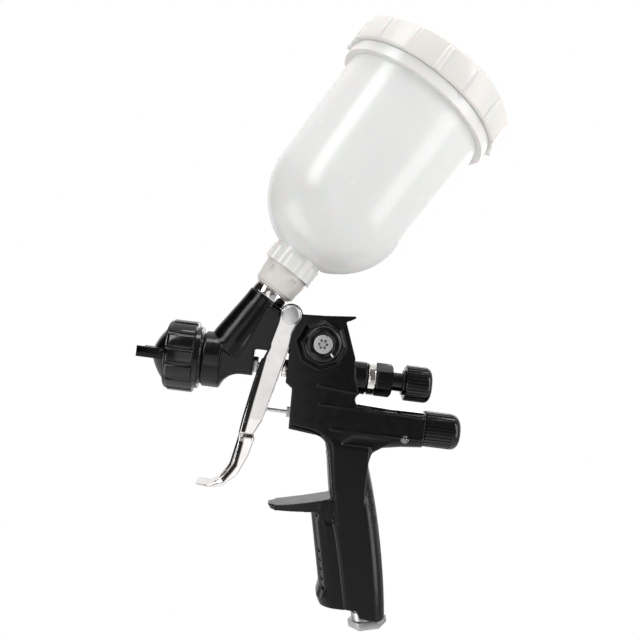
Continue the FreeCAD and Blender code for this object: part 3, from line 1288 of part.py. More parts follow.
    def rib(index, angle):
        thing = cylinder(f"lid_rib_{index}", s.lid_grip_radius, s.lid_height - s.lid_crown)
        reach = lid_radius + s.lid_grip_reach - s.lid_grip_radius
        across = s.spout_x + lid_at * sine(s.cup_lean) + reach * cosine(angle) * cosine(s.cup_lean)
        up = s.spout_z + lid_at * cosine(s.cup_lean) - reach * cosine(angle) * sine(s.cup_lean)
        return put(thing, across, reach * sine(angle), up, CUP)

    node(fuse("lid_piece", [lid] + around(s.lid_grip_count, rib)), "lid")
    vent = turned("vent_piece", [
        (0, lid_inside),
        (s.vent_radius, lid_inside),
        (s.vent_radius, s.lid_height),
        (s.vent_radius - s.vent_rim, s.lid_height),
        (s.vent_radius - s.vent_rim, s.lid_height - s.vent_sink),
        (0, s.lid_height - s.vent_sink),
    ])
    node(put_on_cup(vent, lid_at), "lid_vent_plug")


def adapter_notch(index, angle):
    notch_at = s.fitting_flange + 3.6
    thing = doc.addObject("Part::Box", f"adapter_notch_{index}")
    bind(thing, Length=4, Width=s.adapter_notch_width, Height=s.adapter_notch_length)
    reach = s.adapter_top_radius - s.adapter_notch_depth
    turn = Rotation(Vector(0, 1, 0), s.cup_lean.value) * Rotation(Vector(0, 0, 1), angle.value)
    thing.Placement = FreeCAD.Placement(Vector(0, 0, 0), turn)
    lean_x = reach * cosine(angle) + s.adapter_notch_width / 2 * sine(angle)
    lean_y = reach * sine(angle) - s.adapter_notch_width / 2 * cosine(angle)
    across = s.spout_x + notch_at * sine(s.cup_lean) + lean_x * cosine(s.cup_lean)
    up = s.spout_z + notch_at * cosine(s.cup_lean) - lean_x * sine(s.cup_lean)
    for letter, amount in zip("xyz", (s.datum_x + across, lean_y, s.datum_z + up)):
        thing.setExpression(f"Placement.Base.{letter}", amount.text)
    return thing


for make in (body_casting, air_inlet, nozzle_parts, packing_parts, valve_parts, needle_parts, adjuster_parts,
             air_valve, fan_control, air_cap, cap_ring, trigger, cup_parts):
    make()
doc.recompute()

faults = [f"{thing.Name}: {thing.State}" for thing in doc.Objects
          if "Invalid" in thing.State or "Error" in thing.State]
for thing in nodes:
    if thing.Shape.isNull() or not thing.Shape.isValid():
        faults.append(f"{thing.Label}: bad shape")
    elif len(thing.Shape.Solids) != 1:
        faults.append(f"{thing.Label}: {len(thing.Shape.Solids)} solids")
if faults:
    raise SystemExit("\n".join(faults))
for thing in nodes:
    thing.Shape.exportStep(f"parts/{thing.Label}.step")
print(len(nodes), "pieces")
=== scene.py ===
"""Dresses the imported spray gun: a cast body skin, chrome, satin black parts and a milky cup."""

import json
import math

import bmesh
import bpy
from mathutils import Matrix, Vector


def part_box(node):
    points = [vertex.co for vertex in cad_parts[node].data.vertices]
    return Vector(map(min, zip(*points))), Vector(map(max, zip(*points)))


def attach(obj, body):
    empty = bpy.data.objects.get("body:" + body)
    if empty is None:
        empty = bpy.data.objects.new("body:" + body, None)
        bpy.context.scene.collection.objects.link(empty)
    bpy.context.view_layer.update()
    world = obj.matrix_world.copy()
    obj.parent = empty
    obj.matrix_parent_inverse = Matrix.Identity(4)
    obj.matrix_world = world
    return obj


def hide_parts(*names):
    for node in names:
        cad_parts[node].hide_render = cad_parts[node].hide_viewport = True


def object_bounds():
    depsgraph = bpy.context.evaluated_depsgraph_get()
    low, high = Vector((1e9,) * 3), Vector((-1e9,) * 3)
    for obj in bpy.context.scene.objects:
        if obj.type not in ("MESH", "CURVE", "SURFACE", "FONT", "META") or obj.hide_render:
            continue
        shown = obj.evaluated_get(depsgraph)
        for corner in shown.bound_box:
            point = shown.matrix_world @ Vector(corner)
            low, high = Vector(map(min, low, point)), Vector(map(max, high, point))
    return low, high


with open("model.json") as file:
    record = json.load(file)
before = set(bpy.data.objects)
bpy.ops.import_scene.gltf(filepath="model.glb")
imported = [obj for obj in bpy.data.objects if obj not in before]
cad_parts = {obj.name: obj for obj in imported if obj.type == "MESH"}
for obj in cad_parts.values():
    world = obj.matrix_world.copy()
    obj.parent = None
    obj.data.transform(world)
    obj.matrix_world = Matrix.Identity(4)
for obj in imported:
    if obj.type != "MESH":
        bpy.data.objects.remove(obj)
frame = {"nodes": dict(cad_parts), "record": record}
bpy.context.scene.view_settings.view_transform = "Standard"
cad_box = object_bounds()
MM = 0.001
DARK_END = (-0.8, -0.45)        # a direction's x, where the room's dark left side ends and where it is light
ROOM_DEPTH = (-0.7, 0.5)        # a direction's y, at the room's front level and at its back level
ROOM_DARK = 0.02                # light levels
ROOM_FRONT = 0.16
ROOM_BACK = 0.95


# ---- places, worked out from the frame -------------------------------------
def centre(node):
    low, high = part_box(node)
    return (Vector(low) + Vector(high)) / 2


PIVOT = centre("trigger_pin")
SPRAY_Z = centre("fluid_needle").z
DATUM = Vector((PIVOT.x - 0.3 * MM, 0, SPRAY_Z))


def gun(x, y, z):
    """A point given in millimetres from the gun's datum: the spray axis under the trigger's pin."""
    return DATUM + Vector((x, y, z)) * MM


# ---- camera and stage ------------------------------------------------------
def make_camera():
    data = bpy.data.cameras.new("camera")
    camera = bpy.data.objects.new("camera", data)
    bpy.context.scene.collection.objects.link(camera)
    roll = math.radians(7.0)
    right = Vector((math.cos(roll), 0, math.sin(roll)))
    up = Vector((-math.sin(roll), 0, math.cos(roll)))
    back = right.cross(up)
    place = gun(1.6, 0, 13.4) + back * 0.420
    camera.matrix_world = Matrix.Translation(place) @ Matrix((right, up, back)).transposed().to_4x4()
    data.lens = 41.35
    data.sensor_width = 36
    data.shift_x = 0.047
    data.shift_y = 0.039
    data.clip_start = 0.01
    data.clip_end = 10
    bpy.context.scene.camera = camera


def make_world():
    """White for the camera; for light and gloss, a room that is dark on the left and dim in front."""
    world = bpy.data.worlds.new("studio")
    bpy.context.scene.world = world
    world.use_nodes = True
    nodes, links = world.node_tree.nodes, world.node_tree.links
    nodes.clear()
    out = nodes.new("ShaderNodeOutputWorld")
    mix = nodes.new("ShaderNodeMixShader")
    path = nodes.new("ShaderNodeLightPath")
    either = nodes.new("ShaderNodeMath")
    either.operation = "MAXIMUM"
    place = nodes.new("ShaderNodeTexCoord")
    axes = nodes.new("ShaderNodeSeparateXYZ")
    depth = nodes.new("ShaderNodeMapRange")
    depth.interpolation_type = "SMOOTHSTEP"
    depth.inputs["From Min"].default_value = ROOM_DEPTH[0]
    depth.inputs["From Max"].default_value = ROOM_DEPTH[1]
    depth.inputs["To Min"].default_value = ROOM_FRONT
    depth.inputs["To Max"].default_value = ROOM_BACK
    room = nodes.new("ShaderNodeMapRange")
    room.interpolation_type = "SMOOTHSTEP"
    room.inputs["From Min"].default_value = DARK_END[0]
    room.inputs["From Max"].default_value = DARK_END[1]
    room.inputs["To Min"].default_value = ROOM_DARK
    lit = nodes.new("ShaderNodeBackground")
    seen = nodes.new("ShaderNodeBackground")
    lit.inputs["Color"].default_value = (1.0, 0.99, 0.98, 1)
    seen.inputs["Color"].default_value = (1, 1, 1, 1)
    links.new(place.outputs["Generated"], axes.inputs["Vector"])
    links.new(axes.outputs["Y"], depth.inputs["Value"])
    links.new(depth.outputs["Result"], room.inputs["To Max"])
    links.new(axes.outputs["X"], room.inputs["Value"])
    links.new(room.outputs["Result"], lit.inputs["Strength"])
    links.new(path.outputs["Is Camera Ray"], either.inputs[0])
    links.new(path.outputs["Is Transmission Ray"], either.inputs[1])
    links.new(either.outputs["Value"], mix.inputs["Fac"])
    links.new(lit.outputs["Background"], mix.inputs[1])
    links.new(seen.outputs["Background"], mix.inputs[2])
    links.new(mix.outputs["Shader"], out.inputs["Surface"])


def area_light(name, place, target, size, power):
    """A lamp of a size in metres and a power in watts, unseen by the camera."""
    data = bpy.data.lights.new(name, "AREA")
    data.shape = "RECTANGLE"
    data.size, data.size_y = size
    data.energy = power
    lamp = bpy.data.objects.new(name, data)
    bpy.context.scene.collection.objects.link(lamp)
    lamp.location = place
    lamp.rotation_euler = (target - place).to_track_quat("-Z", "Y").to_euler()
    lamp.visible_camera = False


def make_stage():
    low, high = cad_box
    bpy.ops.mesh.primitive_plane_add(size=6, location=(0, 0, low[2] - 0.25))
    floor = bpy.context.object
    floor.name = "floor"
    material = bpy.data.materials.new("floor_white")
    material.use_nodes = True
    nodes, links = material.node_tree.nodes, material.node_tree.links
    shader = nodes["Principled BSDF"]
    shader.inputs["Base Color"].default_value = (0.86, 0.86, 0.86, 1)
    shader.inputs["Roughness"].default_value = 0.8
    glow = nodes.new("ShaderNodeEmission")
    glow.inputs["Color"].default_value = (1, 1, 1, 1)
    path = nodes.new("ShaderNodeLightPath")
    mix = nodes.new("ShaderNodeMixShader")
    links.new(path.outputs["Is Camera Ray"], mix.inputs["Fac"])
    links.new(shader.outputs["BSDF"], mix.inputs[1])
    links.new(glow.outputs["Emission"], mix.inputs[2])
    links.new(mix.outputs["Shader"], nodes["Material Output"].inputs["Surface"])
    floor.data.materials.append(material)


MIDDLE = (20, 0, 60)            # what most lamps look at, in the gun's millimetres
LAMPS = (                       # name, place and target in the gun's millimetres, size, power
    ("key_left", (-330, -330, 400), MIDDLE, (0.18, 0.5), 1.6),
    ("fill_right", (440, -270, 90), MIDDLE, (0.2, 0.6), 1.2),
    ("top", (30, -60, 560), MIDDLE, (0.4, 0.12), 1.0),
    ("rim_back", (250, 450, 200), MIDDLE, (0.5, 0.5), 1.6),
    ("panel", (-78, -440, -30), (-78, 0, -30), (0.18, 0.34), 0.15),
    ("low_left", (-420, -60, -190), (20, 0, -30), (0.22, 0.4), 0.6),
    ("knob_edge", (330, -330, 300), (80, 0, 0), (0.03, 0.3), 0.35),
)
make_camera()
make_world()
make_stage()
for lamp_name, lamp_place, lamp_target, lamp_size, lamp_power in LAMPS:
    area_light(lamp_name, gun(*lamp_place), gun(*lamp_target), lamp_size, lamp_power)


# ---- materials -------------------------------------------------------------
BRUSH_HEIGHT = 0.000012         # metres
MOULD_WAVE = 0.00002


def new_material(name, colour, roughness, metallic=0.0, **sockets):
    """A Principled material: every other socket is given by its name, with _ for a space."""
    material = bpy.data.materials.new(name)
    material.use_nodes = True
    shader = material.node_tree.nodes["Principled BSDF"]
    shader.inputs["Base Color"].default_value = (*colour, 1)
    shader.inputs["Roughness"].default_value = roughness
    shader.inputs["Metallic"].default_value = metallic
    for socket, amount in sockets.items():
        shader.inputs[socket.replace("_", " ")].default_value = amount
    return material


def texture(material, scale, detail, stretch=(1, 1, 1)):
    """A noise in the piece's own coordinates: scale is features per metre."""
    nodes, links = material.node_tree.nodes, material.node_tree.links
    place = nodes.new("ShaderNodeTexCoord")
    mapping = nodes.new("ShaderNodeMapping")
    mapping.inputs["Scale"].default_value = stretch
    noise = nodes.new("ShaderNodeTexNoise")
    noise.inputs["Scale"].default_value = scale
    noise.inputs["Detail"].default_value = detail
    links.new(place.outputs["Object"], mapping.inputs["Vector"])
    links.new(mapping.outputs["Vector"], noise.inputs["Vector"])
    return noise.outputs[0]


def vary_colour(material, source, dark, light):
    """Mixes two colours by a noise."""
    nodes, links = material.node_tree.nodes, material.node_tree.links
    ramp = nodes.new("ShaderNodeValToRGB")
    ramp.color_ramp.elements[0].position = 0.35
    ramp.color_ramp.elements[1].position = 0.65
    ramp.color_ramp.elements[0].color = (*dark, 1)
    ramp.color_ramp.elements[1].color = (*light, 1)
    links.new(source, ramp.inputs["Fac"])
    links.new(ramp.outputs["Color"], nodes["Principled BSDF"].inputs["Base Color"])


def vary_roughness(material, source, low, high):
    """Spreads the roughness from low to high by a noise."""
    nodes, links = material.node_tree.nodes, material.node_tree.links
    span = nodes.new("ShaderNodeMapRange")
    span.inputs["From Min"].default_value = 0.3
    span.inputs["From Max"].default_value = 0.7
    span.inputs["To Min"].default_value = low
    span.inputs["To Max"].default_value = high
    links.new(source, span.inputs["Value"])
    links.new(span.outputs["Result"], nodes["Principled BSDF"].inputs["Roughness"])


def bump(material, source, height):
    """Bumps of a height in metres, on top of any that the material has."""
    nodes, links = material.node_tree.nodes, material.node_tree.links
    node = nodes.new("ShaderNodeBump")
    node.inputs["Strength"].default_value = 1.0
    node.inputs["Distance"].default_value = height
    before = nodes["Principled BSDF"].inputs["Normal"]
    if before.links:
        links.new(before.links[0].from_socket, node.inputs["Normal"])
    links.new(source, node.inputs["Height"])
    links.new(node.outputs["Normal"], before)


def black_finish(name, base, roughness, grain, grain_height, gloss=0.15):
    """Black paint, anodising or rubber with a fine grain of a height in metres."""
    material = new_material(name, base, roughness, Specular_IOR_Level=gloss)
    broad = texture(material, 60, 4)
    vary_colour(material, broad, tuple(c * 0.8 for c in base), tuple(c * 1.35 for c in base))
    vary_roughness(material, texture(material, 220, 5), roughness - 0.05, roughness + 0.06)
    bump(material, texture(material, grain, 2), grain_height)
    return material


def metal_finish(name, base, roughness, brushed=None, ripple=0.0):
    """Bare metal: brushed is the stretch of its brush marks, ripple the height of its waves in metres."""
    material = new_material(name, base, roughness, 1.0)
    broad = texture(material, 90, 3)
    vary_colour(material, broad, tuple(c * 0.92 for c in base), tuple(min(1, c * 1.06) for c in base))
    vary_roughness(material, texture(material, 350, 4), roughness * 0.8, roughness * 1.3)
    if brushed:
        bump(material, texture(material, 900, 3, brushed), BRUSH_HEIGHT)
    if ripple:
        bump(material, texture(material, 55, 2), ripple)
    return material


def milky_plastic(name, base, roughness, glow):
    """Pale plastic: glow is how much light it scatters inside."""
    material = new_material(name, base, roughness, IOR=1.45, Coat_Weight=0.25, Coat_Roughness=0.08,
                            Subsurface_Weight=glow, Subsurface_Scale=0.004)
    broad = texture(material, 25, 3)
    vary_colour(material, broad, tuple(c * 0.975 for c in base), base)
    vary_roughness(material, texture(material, 160, 4), roughness * 0.9, roughness * 1.15)
    bump(material, texture(material, 70, 2), MOULD_WAVE)
    return material


CASTING = black_finish("black_casting", (0.0014, 0.0016, 0.0022), 0.2, 2200, 0.000003, gloss=0.38)
ANODISED = black_finish("black_anodised", (0.0012, 0.0012, 0.0015), 0.13, 3000, 0.000001, gloss=0.55)
KNOB = black_finish("black_knob", (0.0012, 0.0012, 0.0015), 0.15, 2600, 0.000002, gloss=0.5)
CHROME = metal_finish("polished_chrome", (0.83, 0.81, 0.80), 0.07, ripple=0.00006)
STEEL = metal_finish("satin_steel", (0.72, 0.72, 0.73), 0.32, (1, 1, 12))
INLET = metal_finish("inlet_nickel", (0.50, 0.50, 0.50), 0.3, (1, 1, 10))
BRASS = metal_finish("brass", (0.74, 0.55, 0.27), 0.25, (12, 1, 1))
SEAL = black_finish("seal_rubber", (0.02, 0.02, 0.02), 0.7, 1800, 0.00002)
PACKING = milky_plastic("ptfe", (0.86, 0.86, 0.84), 0.45, 0.2)
CUP_PLASTIC = milky_plastic("cup_polypropylene", (0.83, 0.825, 0.81), 0.24, 0.2)
LID_PLASTIC = milky_plastic("lid_polypropylene", (0.80, 0.785, 0.755), 0.36, 0.2)
NUT_PLASTIC = milky_plastic("nut_nylon", (0.74, 0.715, 0.68), 0.42, 0.1)
MESH_PLASTIC = milky_plastic("strainer_nylon", (0.7, 0.7, 0.68), 0.5, 0.1)

FINISHES = {
    "black_casting": CASTING, "black_anodised": ANODISED, "black_plastic": KNOB, "polished_chrome": CHROME,
    "satin_steel": STEEL, "inlet_steel": INLET, "brass": BRASS, "seal_black": SEAL, "seal_white": PACKING,
    "cup_plastic": CUP_PLASTIC, "lid_plastic": LID_PLASTIC, "nut_plastic": NUT_PLASTIC,
    "strainer_plastic": MESH_PLASTIC,
}


def dress_nodes():
    """Gives every CAD node the finish of its own slot."""
    for part in frame["record"]["subparts"]:
        mesh = frame["nodes"][part["node"]].data
        mesh.materials.clear()
        mesh.materials.append(FINISHES[part["material_slot"]])


dress_nodes()


# ---- mesh helpers ----------------------------------------------------------
CREASE = math.radians(35)       # edges sharper than this are bevelled and stay sharp


def baked(thing):
    """The object's mesh with its modifiers applied, as a new mesh."""
    graph = bpy.context.evaluated_depsgraph_get()
    return bpy.data.meshes.new_from_object(thing.evaluated_get(graph))


def add_object(name, mesh):
    thing = bpy.data.objects.new(name, mesh)
    bpy.context.scene.collection.objects.link(thing)
    return thing


def loft(name, rings, capped=True):
    """A closed skin over rings of equally many points: capped, or its last ring joined to its first."""
    mesh = bmesh.new()
    rows = [[mesh.verts.new(point) for point in ring] for ring in rings]
    count = len(rings[0])
    for low, high in zip(rows, rows[1:] if capped else rows[1:] + rows[:1]):
        for index in range(count):
            after = (index + 1) % count
            mesh.faces.new((low[index], low[after], high[after], high[index]))
    if capped:
        mesh.faces.new(list(reversed(rows[0])))
        mesh.faces.new(rows[-1])
    bmesh.ops.recalc_face_normals(mesh, faces=mesh.faces)
    data = bpy.data.meshes.new(name)
    mesh.to_mesh(data)
    mesh.free()
    return add_object(name, data)


def ring_around(middle, across, up, half_across, half_up, round_share=1.0, count=16):
    """An oval (round_share 1) or a squarer ring of points around a middle point."""
    points = []
    for index in range(count):
        angle = 2 * math.pi * (index + 0.5) / count
        x, y = math.cos(angle), math.sin(angle)
        power = 2 / (2 + 6 * (1 - round_share))
        x = math.copysign(abs(x) ** power, x)
        y = math.copysign(abs(y) ** power, y)
        points.append(middle + across * (half_across * x) + up * (half_up * y))
    return points


def tube(name, path, radius):
    """A round bar along a path of points, used as a cutter or as a bead that is grown on."""
    rings = []
    for index, point in enumerate(path):
        before = path[max(index - 1, 0)]
        after = path[min(index + 1, len(path) - 1)]
        along = (after - before).normalized()
        side = Vector((0, 1, 0))
        up = along.cross(side).normalized()
        rings.append(ring_around(point, side, up, radius, radius, count=10))
    return loft(name, rings)


def near(point, places):
    """How far a point belongs to the places (centre, radius): 1 inside, falling to 0 at twice the radius."""
    share = 0.0
    for middle, radius in places:
        share = max(share, 2 - (point - middle).length / radius)
    return max(0.0, min(1.0, share))


def joined(thing, others):
    """One mesh that holds the thing and the others."""
    whole = bmesh.new()
    for part in (thing, *others):
        whole.from_mesh(part.data)
    mesh = bpy.data.meshes.new(thing.name)
    whole.to_mesh(mesh)
    whole.free()
    return mesh


def softened(node, name, voxel, rounds, cutters=(), trims=(), blends=(), blend_rounds=0, fills=()):
    """A copy of a CAD node with its edges worn round, as a casting or a pressing has them.

    The cutters are cut away, the trims bound it and the fills are grown on. The blends are places that melt
    together.
    """
    thing = add_object(name, frame["nodes"][node].data.copy())
    weld = thing.modifiers.new("weld", "WELD")
    weld.merge_threshold = 0.01 * MM
    for tools, operation in ((cutters, "DIFFERENCE"), (trims, "INTERSECT")):
        for number, tool in enumerate(tools):
            boolean = thing.modifiers.new(f"{operation.lower()}_{number}", "BOOLEAN")
            boolean.operation = operation
            boolean.solver = "EXACT"
            boolean.object = tool
    if fills:
        thing.data = baked(thing)
        thing.modifiers.clear()
        thing.data = joined(thing, fills)
    remesh = thing.modifiers.new("remesh", "REMESH")
    remesh.mode = "VOXEL"
    remesh.voxel_size = voxel
    thing.data = baked(thing)
    thing.modifiers.clear()
    if blends:
        group = thing.vertex_groups.new(name="blend")
        for vertex in thing.data.vertices:
            share = near(vertex.co, blends)
            if share > 0:
                group.add([vertex.index], share, "REPLACE")
        melt = thing.modifiers.new("melt", "SMOOTH")
        melt.factor = 0.6
        melt.iterations = blend_rounds
        melt.vertex_group = "blend"
    smooth = thing.modifiers.new("smooth", "SMOOTH")
    smooth.factor = 0.5
    smooth.iterations = rounds
    thing.data = baked(thing)
    thing.modifiers.clear()
    thing.vertex_groups.clear()
    thing.data.shade_smooth()
    for tool in (*cutters, *trims, *fills):
        bpy.data.objects.remove(tool)
    return thing


def crisp(node, name, width):
    """A copy of a CAD node with small bevels on its sharp edges."""
    thing = add_object(name, frame["nodes"][node].data.copy())
    weld = thing.modifiers.new("weld", "WELD")
    weld.merge_threshold = 0.005 * MM
    flat = thing.modifiers.new("flat", "DECIMATE")
    flat.decimate_type = "DISSOLVE"
    flat.angle_limit = math.radians(0.6)
    bevel = thing.modifiers.new("bevel", "BEVEL")
    bevel.width = width
    bevel.segments = 2
    bevel.limit_method = "ANGLE"
    bevel.angle_limit = CREASE
    bevel.use_clamp_overlap = True
    bevel.harden_normals = False
    thing.data = baked(thing)
    thing.modifiers.clear()
    thing.data.shade_smooth()
    thing.data.set_sharp_from_angle(angle=CREASE)
    return thing


def stands_for(thing, node):
    """Puts a dressed piece in its CAD node's place: same body, same material slot, that slot's finish."""
    slot = next(p["material_slot"] for p in frame["record"]["subparts"] if p["node"] == node)
    body = next(b for b, members in frame["record"]["behaviour"]["bodies"].items() if node in members)
    thing.data.materials.clear()
    thing.data.materials.append(FINISHES[slot])
    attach(thing, body)
    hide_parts(node)


def rides(thing, body, slot):
    """Adds a piece that stands for no CAD node: it rides a body and has a slot's finish."""
    thing.data.materials.append(FINISHES[slot])
    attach(thing, body)


# ---- cast body -------------------------------------------------------------
BODY_VOXEL = 0.36               # all lengths here are in millimetres
SEAM_REACH = 12.55              # from the middle plane to the seam's groove
SEAM_RADIUS = 0.75
POCKET_DEPTH = 10.6             # from the middle plane to the handle's rounded back, at the pockets
SLOT_DEPTH = 11.1               # from the middle plane to the finger slots
BEAD_RADIUS = 0.42
POCKET_SIZE = (2.15, 1.8)       # half lengths along and across
SLOT_SIZE = (2.4, 0.75)
CORNER_HALF = 12.5              # from the middle plane to the corners that melt together
CHAMFER_HALF = 12.2
CHAMFER_REACH = 2.6
CUTTER_MARGIN = 4               # how far a chamfer's cutter stands out of the body
BLEND_ROUNDS = 40


def seam_groove():
    """The thin seam that runs down the side of the front grip from under the guard."""
    cutters = []
    line = [(28, -80), (34, -80), (36.6, -80.9), (38.6, -83.5), (40, -88), (42.2, -96), (44.5, -105),
            (51, -132.5)]
    for side in (-1, 1):
        path = [gun(x, side * SEAM_REACH, z) for x, z in line]
        cutters.append(tube(f"seam_{side}", path, SEAM_RADIUS * MM))
    return cutters


def rear_pockets():
    """Two rows of four D-shaped pockets in the handle's rounded back, on both sides."""
    spots = [(56.5, -63.5), (58.5, -70.5), (60.5, -77.5), (63, -84.5), (67, -99), (68.5, -106.5),
             (70, -113.5), (71.5, -120.5)]
    cutters = []
    for number, (x, z) in enumerate(spots):
        for side in (-1, 1):
            out = Vector((0.62, side * 0.78, 0.14)).normalized()
            up = Vector((0.24, 0, -0.97)).cross(out).cross(out).normalized()
            along = up.cross(out).normalized()
            middle = gun(x, side * POCKET_DEPTH, z)
            rings = []
            for depth, share in ((4.0, 1.2), (0.5, 1.1), (-0.9, 0.95), (-1.3, 0.6)):
                rings.append(ring_around(middle + out * depth * MM, along, up,
                                         POCKET_SIZE[0] * share * MM, POCKET_SIZE[1] * share * MM, 0.6))
            cutters.append(loft(f"pocket_{number}_{side}", rings))
    return cutters


def grip_slots():
    """Five slanting finger slots on each side of the front grip."""
    spots = [(30.5, -98), (31.5, -103), (32.7, -108), (34, -113.3), (35.7, -118.5)]
    slant = Vector((0.9, 0, -0.42)).normalized()
    up = Vector((0.42, 0, 0.9)).normalized()
    cutters = []
    for number, (x, z) in enumerate(spots):
        for side in (-1, 1):
            out = Vector((-0.5, side * 0.87, 0)).normalized()
            middle = gun(x - 0.6, side * SLOT_DEPTH, z)
            rings = []
            for depth, share in ((2.5, 1.0), (0.0, 1.0), (-2.4, 0.8)):
                rings.append(ring_around(middle + out * depth * MM, slant, up,
                                         SLOT_SIZE[0] * share * MM, SLOT_SIZE[1] * share * MM))
            cutters.append(loft(f"slot_{number}_{side}", rings))
    return cutters


def edge_cutter(name, line, half_width, reach, facing):
    """A long wedge that cuts a flat chamfer, reach wide, along an edge; facing is the side it opens to."""
    cutters = []
    for side in (-1, 1):
        rings = []
        for (x, z), (dx, dz) in zip(line, facing):
            edge = gun(x, side * half_width, z)
            into = Vector((-dx, 0, -dz)).normalized() * reach * MM
            outward = Vector((0, side, 0)) * CUTTER_MARGIN * MM
            away = Vector((dx, 0, dz)).normalized() * CUTTER_MARGIN * MM
            rings.append([edge + into + outward * 0.05, edge + into + outward + away, edge + outward + away,
                          edge + away - outward * reach / CUTTER_MARGIN * 0.9,
                          edge - Vector((0, side, 0)) * reach * 0.9 * MM])
        cutters.append(loft(f"{name}_{side}", rings))
    return cutters


def block_chamfer():
    """The broad chamfer that runs under the block and down the front of the handle."""
    line = [(3.4, -30.6), (5, -32.0), (14, -33.0), (20, -33.8), (24.6, -35.6), (27.6, -39), (28.6, -44),
            (30, -52), (32, -60)]
    facing = [(-0.4, -1), (0, -1), (0, -1), (-0.1, -1), (-0.5, -1), (-0.9, -0.5), (-1, -0.1),
              (-1, -0.1), (-1, -0.1)]
    return edge_cutter("chamfer", line, CHAMFER_HALF, CHAMFER_REACH, facing)


def blend_places():
    """Places where the body's corners melt together, on both sides."""
    places = []
    for x, z, radius in ((31, -40, 4), (37, -38, 4), (43, -38, 4), (49, -38, 4), (54, -38, 4), (43, -33, 3),
                         (35, -68, 3), (30, -78, 3), (-7, -63, 3), (-4, -62, 3), (-34, 15, 5), (-30, 19, 4),
                         (-38, 11, 4), (-30, 12, 4)):
        for side in (-1, 1):
            places.append((gun(x, side * CORNER_HALF, z), radius * MM))
    return places


BEADS = {                       # x, half width and z of the fillets along the arm and under the barrel
    "top": ((22, 11.95, -17.2), (50, 11.6, -17.5), (66, 11.0, -17.6), (80, 11.0, -18.3)),
    "foot": ((30, 11.95, -30.2), (50, 11.6, -30.4), (66, 11.0, -30.4), (81, 11.0, -30.2)),
    "barrel": ((20, 11.95, -6.8), (35, 11.95, -8.2), (45.5, 11.9, -8.6)),
}


def on_side(side, points):
    """Points given as x, half width and z, on the side that -1 or 1 names."""
    return [gun(x, side * half, z) for x, half, z in points]


def side_ramps():
    """Gussets that carry the block's sides into the arm and the guard's root into the grip, and fillets."""
    fills = []
    for side in (-1, 1):
        arm = [on_side(side, ((40, 11, z), (40, 11.9, z), (45, 11.95, z), (66, 11.02, z), (66, 9, z),
                              (45, 9, z))) for z in (-17.0, -20, -30, -32.5)]
        root = [on_side(side, ((x, 7, low), (x, 12.2, low), (x, 12.4, high), (x, 7, high)))
                for x, low, high in ((29, -80, -72), (31, -82, -71), (34, -83, -70), (37, -83, -70))]
        for name, points in BEADS.items():
            fills.append(tube(f"bead_{name}_{side}", on_side(side, points), BEAD_RADIUS * MM))
        fills.append(loft(f"arm_ramp_{side}", arm))
        fills.append(loft(f"guard_root_{side}", root))
    return fills


def fan_boss():
    """A skin of clean facets over the eight-sided boss round the fan knob."""
    middle = centre("fan_knob")
    facets = 8
    rings = []
    for y, radius in ((-11.1, 14.9), (-11.5, 14.85), (-15.9, 11.75), (-16.15, 11.4), (-16.15, 9.0),
                      (-11.1, 9.0)):
        ring = []
        for step in range(facets):
            turn = math.radians(360 / facets * step)
            across = Vector((math.cos(turn), 0, math.sin(turn))) * radius * MM
            ring.append(Vector((middle.x, y * MM, middle.z)) + across)
        rings.append(ring)
    rides(loft("fan_boss_skin", rings, capped=False), "gun", "black_casting")


def cast_body():
    cutters = seam_groove() + rear_pockets() + grip_slots() + block_chamfer()
    body = softened("gun_body", "cast_body", BODY_VOXEL * MM, 5, cutters, blends=blend_places(),
                    blend_rounds=BLEND_ROUNDS, fills=side_ramps())
    stands_for(body, "gun_body")


# ---- trigger ---------------------------------------------------------------
TRIGGER_VOXEL = 0.25            # millimetres
TRIM_MARGIN = 0.15              # how far the trimming block stands in front of the pressing
TRIM_DEPTH = 30
FOOT_TOP = -62                  # below this the front turns towards the trigger's tip
FOOT_LENGTH = 8
FOOT_LEAN = 0.92
CORNER_STEPS = (0, 0.12, 0.5, 0.88, 1)


def trigger_rounder():
    """A long block with round front corners that the pressed trigger is trimmed to."""
    stations = [                # x and z of the front, corner radius and half width
        (-7.5, 37, 0.6, 15), (-7.5, 30, 0.7, 15), (-8.0, 24, 0.9, 15), (-9.6, 11, 1.6, 13.6),
        (-12.2, 5.5, 2.4, 13.6), (-13.6, 3, 3.6, 13.55), (-16.5, -10, 4.6, 13.55),
        (-18.4, -20, 4.8, 13.55),
        (-20, -30, 4.8, 13.5), (-21.1, -38.3, 4.6, 13.4), (-21.25, -40.7, 4.4, 10.0),
        (-21.6, -43.5, 4.8, 10.0), (-24.2, -57, 5.6, 10.0), (-26.2, -61, 5.2, 10.0),
        (-29, -65.5, 4.0, 10.0), (-31.6, -67.8, 2.0, 10.0),
        (-34.5, -69.5, 1.2, 10.0), (-38, -69.6, 0.6, 9.6), (-43, -69.4, 0.5, 9.0)]
    rings = []
    for x, z, corner, half in stations:
        foot = max(0.0, min(1.0, (FOOT_TOP - z) / FOOT_LENGTH))
        back = Vector((1, 0, 0)).lerp(Vector((0, 0, -1)), foot * FOOT_LEAN).normalized()
        front = gun(x, 0, z) - back * TRIM_MARGIN * MM
        ring = []
        for side, steps in ((-1, CORNER_STEPS), (1, CORNER_STEPS[::-1])):
            rounded = []
            for step in steps:
                angle = math.pi / 2 * step
                y = side * (half - corner + corner * math.cos(angle))
                depth = corner - corner * math.sin(angle)
                rounded.append(front + back * depth * MM + Vector((0, y * MM, 0)))
            rear = front + back * TRIM_DEPTH * MM + Vector((0, side * half * MM, 0))
            ring.extend([rear, *rounded] if side < 0 else [*rounded, rear])
        rings.append(ring)
    return loft("trigger_rounder", rings)


def pressed_trigger():
    piece = softened("trigger", "pressed_trigger", TRIGGER_VOXEL * MM, 12, trims=[trigger_rounder()])
    stands_for(piece, "trigger")


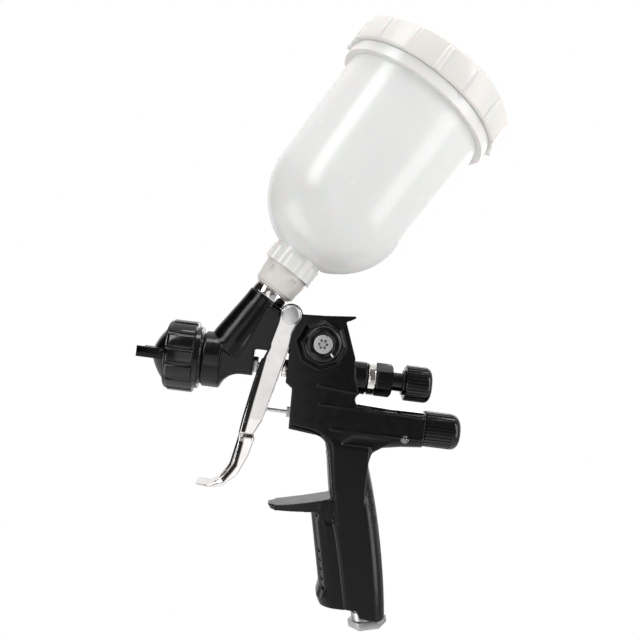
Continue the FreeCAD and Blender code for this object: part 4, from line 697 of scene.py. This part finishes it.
cast_body()
fan_boss()
pressed_trigger()


# ---- turned and moulded pieces with small bevels ---------------------------
BEVELS = {                      # widths in millimetres
    "air_cap_ring": 0.25, "air_cap": 0.35, "fan_knob": 0.8, "fluid_knob": 0.18,
    "air_micrometer_knob": 0.18, "lock_nut": 0.3, "fluid_adjuster_housing": 0.25, "fluid_knob_collar": 0.25,
    "cup_inlet_fitting": 0.25, "air_inlet_connector": 0.3, "trigger_pin": 0.25, "cup_nut": 0.4,
    "packing_nut": 0.2, "needle_guide": 0.15, "needle_collar": 0.2, "lid": 0.5, "fan_spindle": 0.2,
}
for bevelled, bevel_width in BEVELS.items():
    stands_for(crisp(bevelled, f"dressed_{bevelled}", bevel_width * MM), bevelled)


# ---- screws and the index line --------------------------------------------
RECESS_POINTS = 48
INDEX_TURN = math.radians(-45)


def star_recess(node, reach, depth):
    """A six-lobed driver recess, cut into the face that a screw turns to the near side."""
    middle = centre(node)
    face = Vector((middle.x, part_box(node)[0][1], middle.z))
    axis, across = Vector((0, -1, 0)), Vector((1, 0, 0))
    up = axis.cross(across).normalized()
    rings = []
    for level in (depth, 0.0, -2.0 * MM):
        ring = []
        for step in range(RECESS_POINTS):
            turn = 2 * math.pi * step / RECESS_POINTS
            radius = reach * (0.8 + 0.2 * math.cos(6 * turn))
            ring.append(face - axis * level + (across * math.cos(turn) + up * math.sin(turn)) * radius)
        rings.append(ring)
    return loft("star_recess", rings)


def recessed_screw(node, name, reach, depth, voxel):
    """A screw's head with its driver recess; sizes in millimetres."""
    recess = star_recess(node, reach * MM, depth * MM)
    stands_for(softened(node, name, voxel * MM, 3, cutters=[recess]), node)


def index_line():
    """The white pointer line on the fan knob's face."""
    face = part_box("fan_knob")[0][1]
    middle = centre("fan_knob")
    away = Vector((math.cos(INDEX_TURN), 0, math.sin(INDEX_TURN)))
    across = Vector((-away.z, 0, away.x))
    start, end, half = 6.6 * MM, 8.7 * MM, 0.42 * MM
    rings = []
    for y, grow in ((face + 0.5 * MM, 1.0), (face - 0.02 * MM, 1.0), (face - 0.10 * MM, 0.8)):
        ring = []
        for out, turn in ((start, -1), (end, -1), (end, 1), (start, 1)):
            spot = away * out + across * turn * half * grow
            ring.append(Vector((middle.x + spot.x, y, middle.z + spot.z)))
        rings.append(ring)
    rides(loft("fan_index_line", rings), "fan_control", "seal_white")


recessed_screw("fan_knob_screw", "dressed_fan_knob_screw", 3.0, 3.2, 0.12)
recessed_screw("micrometer_set_screw", "dressed_set_screw", 1.15, 1.8, 0.1)
index_line()
